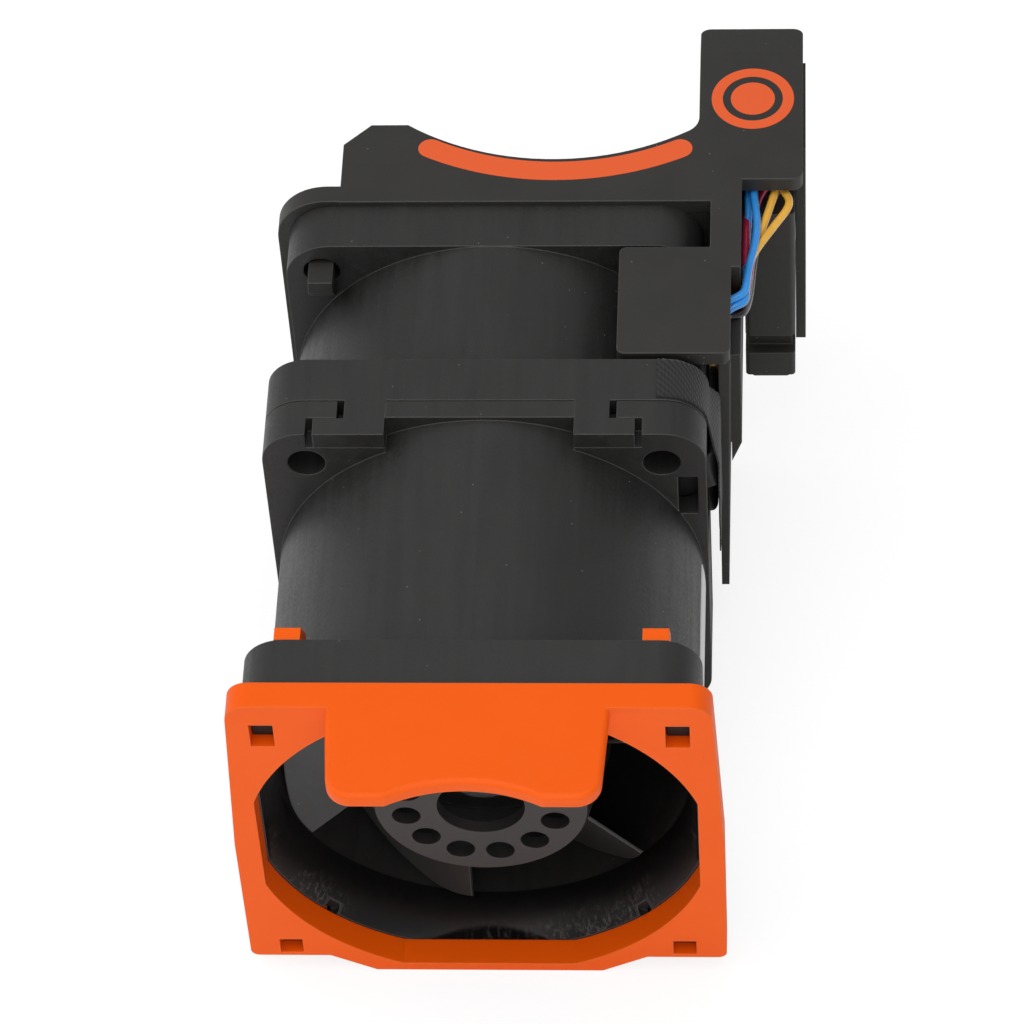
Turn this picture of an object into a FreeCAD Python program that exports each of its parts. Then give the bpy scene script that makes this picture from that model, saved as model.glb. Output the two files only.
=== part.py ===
"""Server fan module: two counter-rotating 40 mm fans in line, with a finger bezel and a rear bracket.

Millimetres. +X is to the right, +Y is the way the air flows, +Z is up. The fan axis lies along Y.
The origin is on the underside, straight below the fan axis, at the middle of the inlet flange.
"""
import FreeCAD, Part
import math
import os

V = FreeCAD.Vector

# ---------------------------------------------------------------- driving dimensions
# Fan frames
frame_size = 40.0          # side of the square flanges
frame_corner = 3.8         # corner radius of the flanges
hole_inset = 4.0           # corner holes, in from the flange's edges
hole_r = 1.72
front_length = 32.0        # front fan, face to seam
rear_length = 24.0         # rear fan, seam to outlet face
duct_margin = 1.4          # flange edge to air duct
barrel_wall = 1.0          # duct wall of both fans
barrel_draft = 0.3         # how much slimmer the rear barrel is at its outlet
inlet_flange = 5.0
front_seam_flange = 4.0    # ears of the front fan at the seam
seam_web = 2.0             # front fan's flange between the two hooks
seam_gap = 0.12            # parting line between the two flanges
rear_seam_flange = 4.8
outlet_flange = 5.0
outlet_setback = 0.6       # the outlet flange is smaller by this on each side
outlet_corner = 4.4
mouth_flare = 1.7          # bellmouth at the inlet face, wider than the duct
mouth_lip = 0.65           # flange left outside the flats that clip the bellmouth
mouth_steps = 4            # rings that make up the flare
mouth_depth = 5.0
relief_depth = 0.8
relief_r = 0.75            # small half-round reliefs between bellmouth and corner holes

# Interlock of the two fans: an L-shaped hook each side, above and below
hook_left_inset = 11.2     # inner edge of the left hook, from the flange's side
hook_right_inset = 11.8
hook_left_arm = 3.7
hook_right_arm = 3.15
hook_left_toe = 2.75
hook_right_toe = 2.3
hook_toe_length = 1.9      # along the axis
hook_depth = 1.8
hook_slot = 0.65           # open slot beside each arm and beyond each toe

# Motors
base_plate = 1.8           # motor base and struts, along the axis
base_gap = 0.2             # each motor base stays this far from the seam
strut_count = 5
strut_width = 2.2
lead_strut_width = 4.6
front_strut_angle = 30.0   # direction of the strut that carries the leads
rear_strut_angle = 12.0
bearing_r = 3.0
bearing_length = 2.5
bearing_tube_wall = 0.6
shaft_r = 1.5
front_stack = 12.0         # laminations of the front stator
rear_stack = 7.0
stator_r = 8.3
pole_count = 4
tooth_width = 2.6
insulator = 0.5
coil_build = 1.0           # winding beside each tooth
run_gap = 0.3              # air gap between stator and magnet
fit_gap = 0.02             # shaft in bearing
magnet_wall = 1.1
cup_wall = 0.8
board_thickness = 1.0
nose_setback = 1.5         # rotor nose behind the flange face

# Impellers
hub_wall = 0.9
nose_r = 9.5
nose_wall = 1.2
eye_r = 3.95               # hole in the middle of the nose
vent_count = 12
vent_r = 1.3
vent_circle_r = 6.9
tip_gap = 0.4
blade_thickness = 0.9
blade_corner = 2.2         # round corner of a blade's leading tip
front_blades = 6
rear_blades = 5
front_wrap = 78.0          # degrees that a blade turns about the axis
rear_wrap = 52.0
front_phase = -95.0        # where the first blade's leading tip stands
rear_phase = 20.0

# Front bezel
bezel_depth = 2.65
bezel_side_top = 0.9       # how far the bezel stands out beside the flange, at its top
bezel_side_bottom = 1.75   # and lower down
bezel_rise = 0.5           # above the flange
bezel_corner = 2.0
bezel_foot = 2.3           # height of the lower corners
bulge_half = 10.35         # flat that hangs below the opening
bulge_half_wide = 14.5
opening_clear = 0.2        # round opening beyond the bellmouth
opening_side = 0.5         # flats of the opening, in from the flange's edges
opening_bottom = 1.05
opening_above = 1.1
port_width = 2.1           # square core-outs in front of the snap hooks
port_height = 3.1
port_offset = 1.95         # outwards from the corner holes
port_top_offset = 0.3
port_bottom_offset = 0.2
port_bottom_height = 2.1
tab_half_root = 12.3
tab_half_tip = 11.6
tab_reach = 9.35           # forward of the bezel's face
tab_thickness = 1.4
tab_corner = 2.2
tab_scoop_half = 6.7
tab_scoop_depth = 1.6

# Snap hooks of the bezel and the bracket
snap_width = 2.3
snap_post = 2.2
bezel_barb = (3.4, 1.3, 2.75)  # length, flat crest, and how far it stands out
bracket_barb = (2.4, 0.3, 2.0)
snap_gap = 0.1

# Rear bracket
plate_thickness = 1.6
back_frame = 1.9           # frame against the outlet flange, along the axis
back_frame_side = 0.5      # beyond the flange, each side
back_frame_corner = 4.9
bracket_gap = 0.05         # bracket to outlet flange
deck_left = -14.4
deck_back = 9.7            # deck's far edge behind the outlet face
deck_chamfer = 2.5
scoop_r = 24.0             # finger cut-out in the deck
scoop_x = 5.4
scoop_depth = 4.4
arm_inset = 1.1            # arm's left edge, in from the flange's side
arm_width = 9.7
arm_front = 2.7            # arm's near edge behind the outlet face
arm_length = 18.8          # arm's bend behind the outlet face
arm_fillet = 2.0
lip_length = 4.3
lip_angle = 14.0
rail_side = 2.95           # right edge of the deck, out from the flange's side
rail_front = 8.1           # its near end in front of the outlet face
pad_left = 11.8
pad_side = 2.05            # pad's right edge, out from the flange's side
pad_gap = 0.7              # pad's near edge behind the rear fan's seam flange
pad_back = 5.7             # pad's far edge in front of the outlet face
slot_clear = 0.1           # notch in the deck round the outlet flange
skirt_side = 1.0           # wall beside the fan, out from the flange's side
skirt_depth = 32.7         # down from the deck's underside
skirt_lean = 0.45          # how far the skirt's foot leans in
channel_drop = 1.0         # the lead channel opens from this far below the axis
wall_side = 2.0            # outer wall of the lead channel, out from the flange's side
wall_front = 15.1          # its near end in front of the outlet face
wall_depth = 18.0          # down from the deck's underside
wall_chamfer = 2.8
jog_thickness = 0.8        # web between skirt and outer wall
gate_height = 2.65         # leads pass over the outer wall through this gate
cheek_thickness = 0.95     # right wall of the connector bay
cheek_front = 8.0          # behind the outlet face
cheek_depth = 29.0
cheek_chamfer = 1.8
bay_back = 1.0             # rear wall of the connector bay
bay_depth = 20.0

# Connector
plug_gap = 0.1             # to the right of the lead channel's wall
plug_width = 4.8
plug_front = 3.0           # behind the outlet face
plug_length = 15.0
plug_drop = 3.7            # below the deck's underside
plug_height = 17.4
neck_height = 2.6
neck_inset = 1.2
collar_height = 3.2
nose_inset = 2.4
nose_height = 3.0
contact_columns = 4
contact_pitch = 2.4
contact_row_pitch = 1.9
contact_size = 0.64
contact_cavity = 1.0
contact_length = 9.0

# Leads, tape and label
lead_r = 0.375
lead_sides = 6
lead_pitch = 0.85
lead_bend = 0.85           # tight bend where a lead leaves the duct wall
groove_depth = 0.9
notch_drop = 3.1           # notch in the front fan's ear, down from the middle of its leads
inner_layer_side = -0.5    # leads climb in two layers beside the outlet barrel
outer_layer_side = 1.35
gate_pitch = 0.97          # leads side by side in the gate
lane_pitch = 0.82          # leads side by side outside the wall
layer_drops = (0.85, 1.75)  # below the deck's underside
lane_ends = (0.95, 2.05, 3.15, 4.15)  # where the lanes reach the connector, from its left side
climb_start = (-3.4, 1.2)   # where each fan's leads start to climb, from the channel's mouth
climb_stagger = (0.45, 0.7)  # and how much later than the lead above it each one does
gate_bend = 0.6
tape_thickness = 0.15
tape_top_length = 4.5      # over the top of the flange, in from its side
tape_foot = 2.0
tape_lead_in = 1.9         # the part over the leads starts this far before the seam
tape_clear = 0.1           # and ends this far from the bracket
tape_side_height = 14.0    # up from the axis
label_thickness = 0.12
label_low = -46.0          # degrees below the horizontal
label_high = 9.0
label_front = 9.5          # behind the inlet face
label_length = 17.0

# ---------------------------------------------------------------- stations and derived sizes
half = frame_size / 2
axis_z = half
duct_r = half - duct_margin
mouth_r = duct_r + mouth_flare
mouth_flat = half - mouth_lip
outlet_size = frame_size - 2 * outlet_setback
hook_left = half - hook_left_inset
hook_right = half - hook_right_inset
front_y = -inlet_flange / 2
seam_y = front_y + front_length
back_y = seam_y + rear_length
hole_at = half - hole_inset
barrel_r = duct_r + barrel_wall
outlet_barrel_r = barrel_r - barrel_draft
tip_r = duct_r - tip_gap
front_base_y = seam_y - base_gap - base_plate
rear_base_y = seam_y + base_gap + base_plate
front_reach = front_base_y - front_y - nose_setback
rear_reach = back_y - nose_setback - rear_base_y
magnet_in_r = stator_r + run_gap
magnet_out_r = magnet_in_r + magnet_wall
cup_r = magnet_out_r + cup_wall
hub_r = cup_r + hub_wall
base_r = hub_r - 0.3
tube_r = bearing_r + bearing_tube_wall
clip_r = shaft_r + 0.7
clip_thickness = 0.4
clip_w = -0.3              # clip's middle, along the shaft from the base
shoulder_r = clip_r + run_gap
bearing_seat = 0.6
board_r = magnet_in_r + 0.6
stack_start = 4.2          # laminations above the motor base
coil_overhang = 2.2
magnet_overhang = 1.5
bezel_half_top = half + bezel_side_top
bezel_half_bottom = half + bezel_side_bottom
bezel_top = frame_size + bezel_rise
opening_r = mouth_r + opening_clear
opening_half = half - opening_side
opening_low = half - opening_bottom
opening_high = half - opening_above
port_x = hole_at + port_offset
port_top = hole_at + port_top_offset
port_bottom = -hole_at - port_bottom_offset
deck_z = frame_size - plate_thickness
back_frame_half = half + back_frame_side
arm_left = half - arm_inset
arm_right = arm_left + arm_width
rail_right = half + rail_side
pad_right = half + pad_side
pad_front = rear_length - rear_seam_flange - pad_gap
slot_right = half + slot_clear
skirt_left = half + skirt_side
wall_left = half + wall_side
channel_floor = axis_z - channel_drop
gate_sill = deck_z - gate_height
plug_left = rail_right + plug_gap
plug_right = plug_left + plug_width
plug_top = deck_z - plug_drop
cheek_right = plug_right + bracket_gap + cheek_thickness


# ---------------------------------------------------------------- small makers
def save(name, shape):
    """Write one node's solids."""
    shape.exportStep("parts/" + name + ".step")


def rod(radius, y0, y1, x=0.0, z=axis_z):
    """Round bar along Y."""
    return Part.makeCylinder(radius, y1 - y0, V(x, y0, z), V(0, 1, 0))


def block(x0, x1, y0, y1, z0, z1):
    """Plain block between two corners."""
    return Part.makeBox(x1 - x0, y1 - y0, z1 - z0, V(x0, y0, z0))


def edges_along(shape, axis):
    """Straight edges of a shape that run along an axis, given as 'x', 'y' or 'z'."""
    found = []
    for edge in shape.Edges:
        if isinstance(edge.Curve, Part.Line) and abs(getattr(edge.Curve.Direction, axis)) > 0.999:
            found.append(edge)
    return found


def rounded(shape, radius, axis):
    """Shape with its edges along one axis rounded."""
    return shape.makeFillet(radius, edges_along(shape, axis))


def rounded_where(shape, radius, axis, wanted):
    """Round the edges along one axis whose middles are wanted."""
    return shape.makeFillet(radius, [e for e in edges_along(shape, axis) if wanted(e.CenterOfMass)])


def prism(points, direction):
    """Extrude a flat outline of points."""
    outline = Part.makePolygon(points + [points[0]])
    return Part.Face(outline).extrude(direction)


def ring(r_out, r_in, w0, w1):
    """Ring about the local motor axis, from w0 to w1."""
    outer = Part.makeCylinder(r_out, w1 - w0, V(0, 0, w0))
    return outer.cut(Part.makeCylinder(r_in, w1 - w0, V(0, 0, w0)))


def turned(profile):
    """Solid of revolution about the local motor axis, from (radius, w) points."""
    points = [V(r, 0, w) for r, w in profile]
    face = Part.Face(Part.makePolygon(points + [points[0]]))
    return face.revolve(V(0, 0, 0), V(0, 0, 1), 360)


def seat_front(shape):
    """Place a local motor shape in the front fan: its axis points to the inlet."""
    placed = shape.copy()
    placed.rotate(V(0, 0, 0), V(1, 0, 0), 90)
    placed.translate(V(0, front_base_y, axis_z))
    return placed


def seat_rear(shape):
    """Place a local motor shape in the rear fan: its axis points to the outlet."""
    placed = shape.copy()
    placed.rotate(V(0, 0, 0), V(1, 0, 0), -90)
    placed.translate(V(0, rear_base_y, axis_z))
    return placed


# ---------------------------------------------------------------- fan housings
def flange(y0, y1, side=frame_size, corner=frame_corner):
    """Square flange with round corners and four corner holes."""
    plate = block(-side / 2, side / 2, y0, y1, axis_z - side / 2, axis_z + side / 2)
    plate = rounded(plate, corner, "y")
    for x in (-hole_at, hole_at):
        for z in (-hole_at, hole_at):
            plate = plate.cut(rod(hole_r, y0, y1, x, axis_z + z))
    return plate


def bellmouth():
    """Space of the inlet: a flared round mouth clipped by four flats, with small reliefs."""
    flare = mouth_r - duct_r
    bend_r = (mouth_depth ** 2 + flare ** 2) / (2 * flare)
    sweep = math.asin(mouth_depth / bend_r)
    profile = [V(0, front_y + mouth_depth, 0), V(0, front_y, 0)]
    for k in range(mouth_steps + 1):
        angle = sweep * (1 - k / mouth_steps)
        profile.append(V(duct_r + bend_r * (1 - math.cos(angle)),
                         front_y + mouth_depth - bend_r * math.sin(angle), 0))
    wire = Part.makePolygon(profile + [profile[0]])
    mouth = Part.Face(wire).revolve(V(0, 0, 0), V(0, 1, 0), 360)
    mouth.translate(V(0, 0, axis_z))
    clip = block(-mouth_flat, mouth_flat, front_y, front_y + mouth_depth,
                 axis_z - mouth_flat, axis_z + mouth_flat)
    space = mouth.common(clip)
    notch_at = mouth_r * math.sqrt(0.5)
    for x in (-notch_at, notch_at):
        for z in (-notch_at, notch_at):
            space = space.fuse(rod(relief_r, front_y, front_y + relief_depth, x, axis_z + z))
    return space


def strut_plan(lead_angle):
    """Angle and width of every strut; the first one carries the leads."""
    plan = [(lead_angle, lead_strut_width)]
    for k in range(1, strut_count):
        plan.append((lead_angle + 360.0 * k / strut_count, strut_width))
    return plan


def motor_base(y0, lead_angle):
    """Motor base plate on its struts, from y0 over one base thickness, and its lead groove."""
    y1 = y0 + base_plate
    base = rod(base_r, y0, y1)
    for angle, width in strut_plan(lead_angle):
        strut = block(0, duct_r + barrel_wall / 2, y0, y1, axis_z - width / 2, axis_z + width / 2)
        strut = strut.makeChamfer(min(0.5, base_plate / 3), edges_along(strut, "x"))
        strut.rotate(V(0, 0, axis_z), V(0, 1, 0), -angle)
        base = base.fuse(strut)
    return base.removeSplitter()


def lead_groove(y_floor, y_open, lead_angle):
    """Groove for four leads, out through the duct wall, and the pocket where they turn back."""
    low = min(y_floor, y_open)
    high = max(y_floor, y_open)
    width = lead_pitch * 3 + lead_r * 2 + 0.3
    slope = math.cos(math.radians(lead_angle))
    groove = block(board_r - 1.0, (half + 1.0) / slope, low, high,
                   axis_z - width / 2, axis_z + width / 2)
    groove.rotate(V(0, 0, axis_z), V(0, 1, 0), -lead_angle)
    rise = lead_side_x() * math.tan(math.radians(lead_angle))
    reach = width / 2 / slope + 0.1
    pocket = block(lead_side_x() - lead_bend - lead_r - 0.15, half + 1.0, low,
                   high + lead_bend + 0.1, axis_z + rise - reach - 0.45, axis_z + rise + reach)
    return groove.fuse(pocket)


def bearing_tube(stack):
    """Space and wall of the bearing tube on the local motor axis, as (wall, bore)."""
    top = tube_top(stack)
    wall = Part.makeCylinder(tube_r, top + base_plate / 2, V(0, 0, -base_plate / 2))
    bore = Part.makeCylinder(bearing_r, top - bearing_seat, V(0, 0, bearing_seat))
    shoulder = Part.makeCylinder(shoulder_r, base_plate + bearing_seat, V(0, 0, -base_plate))
    return wall, bore.fuse(shoulder)


def tube_top(stack):
    """Height of the bearing tube above the motor base."""
    return stack_start + stack + coil_overhang + 0.2


def hook_sides():
    """The two hooks as (side, inner edge, arm width, toe length)."""
    return [(-1, hook_left, hook_left_arm, hook_left_toe),
            (1, hook_right, hook_right_arm, hook_right_toe)]


def hook_blocks(grow, slot):
    """Arm and toe of all four hooks; grow widens them and slot opens them sideways."""
    blocks = []
    toe_y = seam_y - front_seam_flange
    for side, inner, arm, toe in hook_sides():
        outer = inner + arm
        spans = [(inner, outer + slot, toe_y, seam_y),
                 (inner, outer + toe + slot, toe_y, toe_y + hook_toe_length + grow)]
        for a, b, y0, y1 in spans:
            x0 = min(side * a, side * b)
            x1 = max(side * a, side * b)
            depth = hook_depth + grow
            blocks.append(block(x0, x1, y0, y1, frame_size - depth, frame_size))
            blocks.append(block(x0, x1, y0, y1, 0, depth))
    return blocks


def make_front_fan_housing():
    """Inlet flange with bellmouth, barrel, seam ears, motor base, struts and bearing tube."""
    body = rod(barrel_r, front_y, seam_y)
    body = body.fuse(flange(front_y, front_y + inlet_flange))
    body = body.fuse(flange(seam_y - front_seam_flange, seam_y))
    # between the hooks the seam flange is only a thin web
    barrel = rod(barrel_r, seam_y - front_seam_flange, seam_y)
    web_y = seam_y - seam_web
    for z0, z1 in ((axis_z + half / 2, frame_size), (0, axis_z - half / 2)):
        relief = block(-hook_left, hook_right, seam_y - front_seam_flange, web_y, z0, z1)
        body = body.cut(relief.cut(barrel))
    body = body.cut(rod(duct_r, front_y, seam_y)).cut(bellmouth())
    body = body.fuse(motor_base(front_base_y, front_strut_angle))
    wall, bore = bearing_tube(front_stack)
    body = body.fuse(seat_front(wall)).cut(seat_front(bore))
    body = body.cut(lead_groove(front_base_y, front_base_y + groove_depth, front_strut_angle))
    for pocket in hook_blocks(0.05, hook_slot):
        body = body.cut(pocket)
    parting = block(-half, half, seam_y - seam_gap, seam_y, 0, frame_size)
    body = body.cut(parting.cut(barrel))
    # lead notch through the right upper ear
    rise = lead_side_x() * math.tan(math.radians(front_strut_angle))
    notch = block(hole_at + 1.4, half - 0.8, seam_y - front_seam_flange, seam_y,
                  axis_z + rise - notch_drop, axis_z + hole_at - hole_r - 0.3)
    return body.cut(notch).removeSplitter()


def make_rear_fan_housing():
    """Seam flange with its hooks, tapered barrel, outlet flange, motor base, struts and tube."""
    body = Part.makeCone(barrel_r, outlet_barrel_r, rear_length, V(0, seam_y, axis_z), V(0, 1, 0))
    body = body.fuse(flange(seam_y, seam_y + rear_seam_flange))
    body = body.fuse(flange(back_y - outlet_flange, back_y, outlet_size, outlet_corner))
    body = body.cut(rod(duct_r, seam_y, back_y))
    body = body.fuse(motor_base(rear_base_y - base_plate, rear_strut_angle))
    wall, bore = bearing_tube(rear_stack)
    body = body.fuse(seat_rear(wall)).cut(seat_rear(bore))
    body = body.cut(lead_groove(rear_base_y, rear_base_y - groove_depth, rear_strut_angle))
    for hook in hook_blocks(0.0, 0.0):
        body = body.fuse(hook)
    return body.removeSplitter()


# ---------------------------------------------------------------- motors, on the local axis
def make_bearings(stack):
    """Two ball bearings in their tube, each one closed ring."""
    top = tube_top(stack)
    low = ring(bearing_r, shaft_r + fit_gap, bearing_seat, bearing_seat + bearing_length)
    high = ring(bearing_r, shaft_r + fit_gap, top - bearing_length, top)
    return Part.makeCompound([low, high])


def boss_bottom(stack):
    """Underside of the rotor's boss, just above the upper bearing and its spring."""
    return tube_top(stack) + 1.0


def cup_top(stack):
    """Outer face of the rotor cup's end wall."""
    return boss_bottom(stack) + 0.8 + cup_wall


def make_rotor_cup(stack, reach):
    """Deep-drawn steel cup with a boss that holds the shaft."""
    top = cup_top(stack)
    boss_r = bearing_r - 0.2
    return turned([(shaft_r, boss_bottom(stack)), (boss_r, boss_bottom(stack)),
                   (boss_r, top - cup_wall), (magnet_out_r, top - cup_wall), (magnet_out_r, 1.3),
                   (cup_r, 1.3), (cup_r, top), (boss_r, top), (boss_r, boss_top(reach)),
                   (shaft_r, boss_top(reach))])


def boss_top(reach):
    """Outer end of the rotor's boss, just inside the nose."""
    return reach - nose_wall - 1.8


def make_shaft(reach):
    """Ground shaft with a clip groove near the base."""
    tip = boss_top(reach) + 0.4
    groove = clip_thickness / 2
    neck = shaft_r - 0.3
    return turned([(0, -1.2), (shaft_r, -1.2), (shaft_r, clip_w - groove),
                   (neck, clip_w - groove), (neck, clip_w + groove), (shaft_r, clip_w + groove),
                   (shaft_r, tip), (0, tip)])


def make_retaining_clip():
    """Open ring that snaps into the shaft's groove."""
    w0 = clip_w - clip_thickness / 2
    clip = ring(clip_r, shaft_r - 0.3, w0, w0 + clip_thickness)
    gap = Part.makeBox(clip_r + 1, 1.2, clip_thickness, V(0, -0.6, w0))
    return clip.cut(gap)


def make_spring_washer(stack):
    """Dished washer that preloads the upper bearing."""
    low = boss_bottom(stack) - 0.7
    high = boss_bottom(stack)
    return turned([(shaft_r + 0.2, low), (bearing_r - 0.3, high - 0.3), (bearing_r - 0.3, high),
                   (shaft_r + 0.2, low + 0.3)])


def make_magnet_ring(stack):
    """Ring magnet inside the rotor cup."""
    return ring(magnet_out_r, magnet_in_r, stack_start - magnet_overhang,
                stack_start + stack + magnet_overhang)


def pole_profile(tooth_width, shoes):
    """Unit-thick face of the stator: a hub with straight poles, and with or without their shoes."""
    shape = Part.makeCylinder(5.0, 1.0)
    shoe = ring(stator_r, stator_r - 1.1, 0, 1.0)
    for k in range(pole_count):
        piece = Part.makeBox(stator_r - 1.4, tooth_width, 1.0, V(0, -tooth_width / 2, 0))
        if shoes:
            sector = Part.makeBox(stator_r + 1, 9.6, 1.0, V(4.0, -4.8, 0))
            tooth = Part.makeBox(stator_r - 0.6, tooth_width, 1.0, V(0, -tooth_width / 2, 0))
            piece = tooth.fuse(shoe.common(sector))
        piece.rotate(V(0, 0, 0), V(0, 0, 1), 360.0 * k / pole_count + 45)
        shape = shape.fuse(piece)
    return shape.cut(Part.makeCylinder(tube_r, 1.0)).removeSplitter()


def stretched(flat_shape, w0, w1):
    """Extrude the lower face of a unit-thick shape from w0 to w1."""
    low = [f for f in flat_shape.Faces if abs(f.CenterOfMass.z) < 1e-6][0]
    solid = low.extrude(V(0, 0, w1 - w0))
    solid.translate(V(0, 0, w0))
    return solid


def make_stator_core(stack):
    """Stack of laminations."""
    return stretched(pole_profile(tooth_width, True), stack_start, stack_start + stack)


def make_stator_insulators(stack):
    """Moulded end frames that keep the winding off the laminations."""
    flat = pole_profile(tooth_width, False)
    low = stretched(flat, stack_start - insulator, stack_start)
    high = stretched(flat, stack_start + stack, stack_start + stack + insulator)
    return Part.makeCompound([low, high])


def make_stator_coils(stack):
    """One wound coil round each pole."""
    coils = []
    w0 = stack_start - coil_overhang
    height = stack + 2 * coil_overhang
    depth = stator_r - 1.1 - 5.0 - 0.55
    for k in range(pole_count):
        outer = Part.makeBox(depth, tooth_width + 2 * coil_build, height,
                             V(5.1, -tooth_width / 2 - coil_build, w0))
        outer = outer.makeChamfer(0.8, edges_along(outer, "x"))
        window = Part.makeBox(depth, tooth_width, stack + 2 * insulator,
                              V(5.1, -tooth_width / 2, stack_start - insulator))
        coil = outer.cut(window)
        coil.rotate(V(0, 0, 0), V(0, 0, 1), 360.0 * k / pole_count + 45)
        coils.append(coil)
    return Part.makeCompound(coils)


def make_circuit_board():
    """Ring-shaped driver board with its low components, flat on the motor base."""
    board = ring(board_r, tube_r, 0, board_thickness)
    for angle, length in ((0, 2.0), (90, 1.6), (180, 2.0), (225, 1.2), (300, 1.6)):
        chip = Part.makeBox(length, length * 0.8, 0.7, V(5.6, -length * 0.4, board_thickness))
        chip.rotate(V(0, 0, 0), V(0, 0, 1), angle)
        board = board.fuse(chip)
    return board


# ---------------------------------------------------------------- impellers, on the local axis
def blade_section(radius, lead_w, trail_w, phase, wrap, thickness):
    """Closed outline of one blade at one radius, wrapped on its cylinder."""
    steps = 2
    camber = 0.35
    upper = []
    lower = []
    for i in range(steps + 1):
        u = i / steps
        w = lead_w + (trail_w - lead_w) * u
        angle = phase - wrap * ((1 + camber) * u - camber * u * u)
        run = -math.radians(wrap) * (1 + camber - 2 * camber * u) * radius
        rise = trail_w - lead_w
        size = math.hypot(run, rise)
        swell = 0.5 * thickness * (0.35 + 0.65 * math.sin(math.pi * u))
        for side, points in ((1, upper), (-1, lower)):
            turn = math.radians(angle) + side * swell * rise / size / radius
            lift = w - side * swell * run / size
            points.append(V(radius * math.cos(turn), radius * math.sin(turn), lift))
    top = Part.BSplineCurve()
    top.interpolate(upper)
    bottom = Part.BSplineCurve()
    bottom.interpolate(lower)
    return Part.Wire([top.toShape(), Part.makeLine(upper[-1], lower[-1]),
                      bottom.toShape(), Part.makeLine(lower[0], upper[0])])


def make_blade(phase, wrap, root_w, tip_w):
    """One blade, lofted from root to tip; root_w and tip_w are (leading, trailing) heights."""
    root_r = nose_r - 1.2
    end_r = tip_r + 0.6
    wires = []
    for share in (0.0, 1.0):
        radius = root_r + (end_r - root_r) * share
        lead_w = root_w[0] + (tip_w[0] - root_w[0]) * share
        trail_w = root_w[1] + (tip_w[1] - root_w[1]) * share
        lag = 9.0 * (1 - share)
        twist = wrap * (1.12 - 0.12 * share)
        wires.append(blade_section(radius, lead_w, trail_w, phase - lag, twist,
                                   blade_thickness * (1.25 - 0.45 * share)))
    return Part.makeLoft(wires, True, True)


def tip_rounding(lead_w, lead_up):
    """Ring that rounds the leading corners of the blade tips; lead_up is +1 or -1."""
    inner_r = tip_r - blade_corner
    level = lead_w - lead_up * 0.1
    far = lead_w + lead_up * 2.0
    low = level - lead_up * blade_corner
    bend = V(inner_r + blade_corner * math.sqrt(0.5), 0,
             low + lead_up * blade_corner * math.sqrt(0.5))
    edges = [Part.Arc(V(inner_r, 0, level), bend, V(tip_r, 0, low)).toShape()]
    corners = [V(tip_r, 0, low), V(tip_r + 1, 0, low), V(tip_r + 1, 0, far), V(inner_r, 0, far),
               V(inner_r, 0, level)]
    for a, b in zip(corners[:-1], corners[1:]):
        edges.append(Part.makeLine(a, b))
    return Part.Face(Part.Wire(edges)).revolve(V(0, 0, 0), V(0, 0, 1), 360)


def make_impeller(stack, reach, blades, phase, wrap, root_w, tip_w):
    """Hub with a tapered nose, vent holes and swept blades, trimmed to the tip circle."""
    shoulder = cup_top(stack) + run_gap
    hub = turned([(0, 0.5), (hub_r, 0.5), (hub_r, shoulder), (nose_r + 0.25, reach - 0.4),
                  (nose_r, reach), (0, reach)])
    first = make_blade(phase, wrap, root_w, tip_w)
    tip = Part.makeCylinder(tip_r, 2 * reach, V(0, 0, -reach / 2))
    lead_up = 1 if tip_w[0] > tip_w[1] else -1
    first = first.common(tip).cut(tip_rounding(tip_w[0], lead_up))
    wheel = hub
    for k in range(blades):
        blade = first.copy()
        blade.rotate(V(0, 0, 0), V(0, 0, 1), 360.0 * k / blades)
        wheel = wheel.fuse(blade)
    inner_nose_r = nose_r - hub_wall
    cavity = turned([(0, 0.5), (cup_r, 0.5), (cup_r, shoulder),
                     (inner_nose_r, reach - nose_wall), (0, reach - nose_wall)])
    wheel = wheel.cut(cavity)
    wheel = wheel.cut(Part.makeCylinder(eye_r, nose_wall * 2, V(0, 0, reach - nose_wall * 1.5)))
    for k in range(vent_count):
        angle = math.radians(12.0 + 360.0 * k / vent_count)
        centre = V(vent_circle_r * math.cos(angle), vent_circle_r * math.sin(angle),
                   reach - nose_wall * 1.5)
        wheel = wheel.cut(Part.makeCylinder(vent_r, nose_wall * 2, centre))
    return wheel.removeSplitter()


def make_front_impeller():
    """Inlet impeller: its leading edges stand near the nose."""
    return make_impeller(front_stack, front_reach, front_blades, front_phase, front_wrap,
                         (front_reach - 5.5, 3.6), (front_reach - 1.6, 4.2))


def make_rear_impeller():
    """Outlet impeller: its leading edges stand near the motor base."""
    return make_impeller(rear_stack, rear_reach, rear_blades, rear_phase, rear_wrap,
                         (3.2, rear_reach - 4.8), (3.8, rear_reach - 3.4))


# ---------------------------------------------------------------- snap hooks
def snap_hook(x, z, face_y, way, depth, barb_up, barb):
    """Post through a flange hole with a barb behind the flange.

    It starts on face_y and points along way (+1 or -1); depth is the flange it passes.
    barb_up is the side of the barb, +1 up or -1 down; barb is its length, crest and catch.
    """
    reach, crest_length, catch = barb
    shoulder = face_y + way * (depth + snap_gap)
    end = shoulder + way * reach
    inner = -barb_up * snap_post / 2
    outer = barb_up * snap_post / 2
    crest = outer + barb_up * catch
    profile = [(face_y, inner), (face_y, outer), (shoulder, outer), (shoulder, crest),
               (shoulder + way * crest_length, crest), (end, outer - barb_up * 0.8), (end, inner)]
    points = [V(x - snap_width / 2, y, z + dz) for y, dz in profile]
    return prism(points, V(snap_width, 0, 0))


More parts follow.
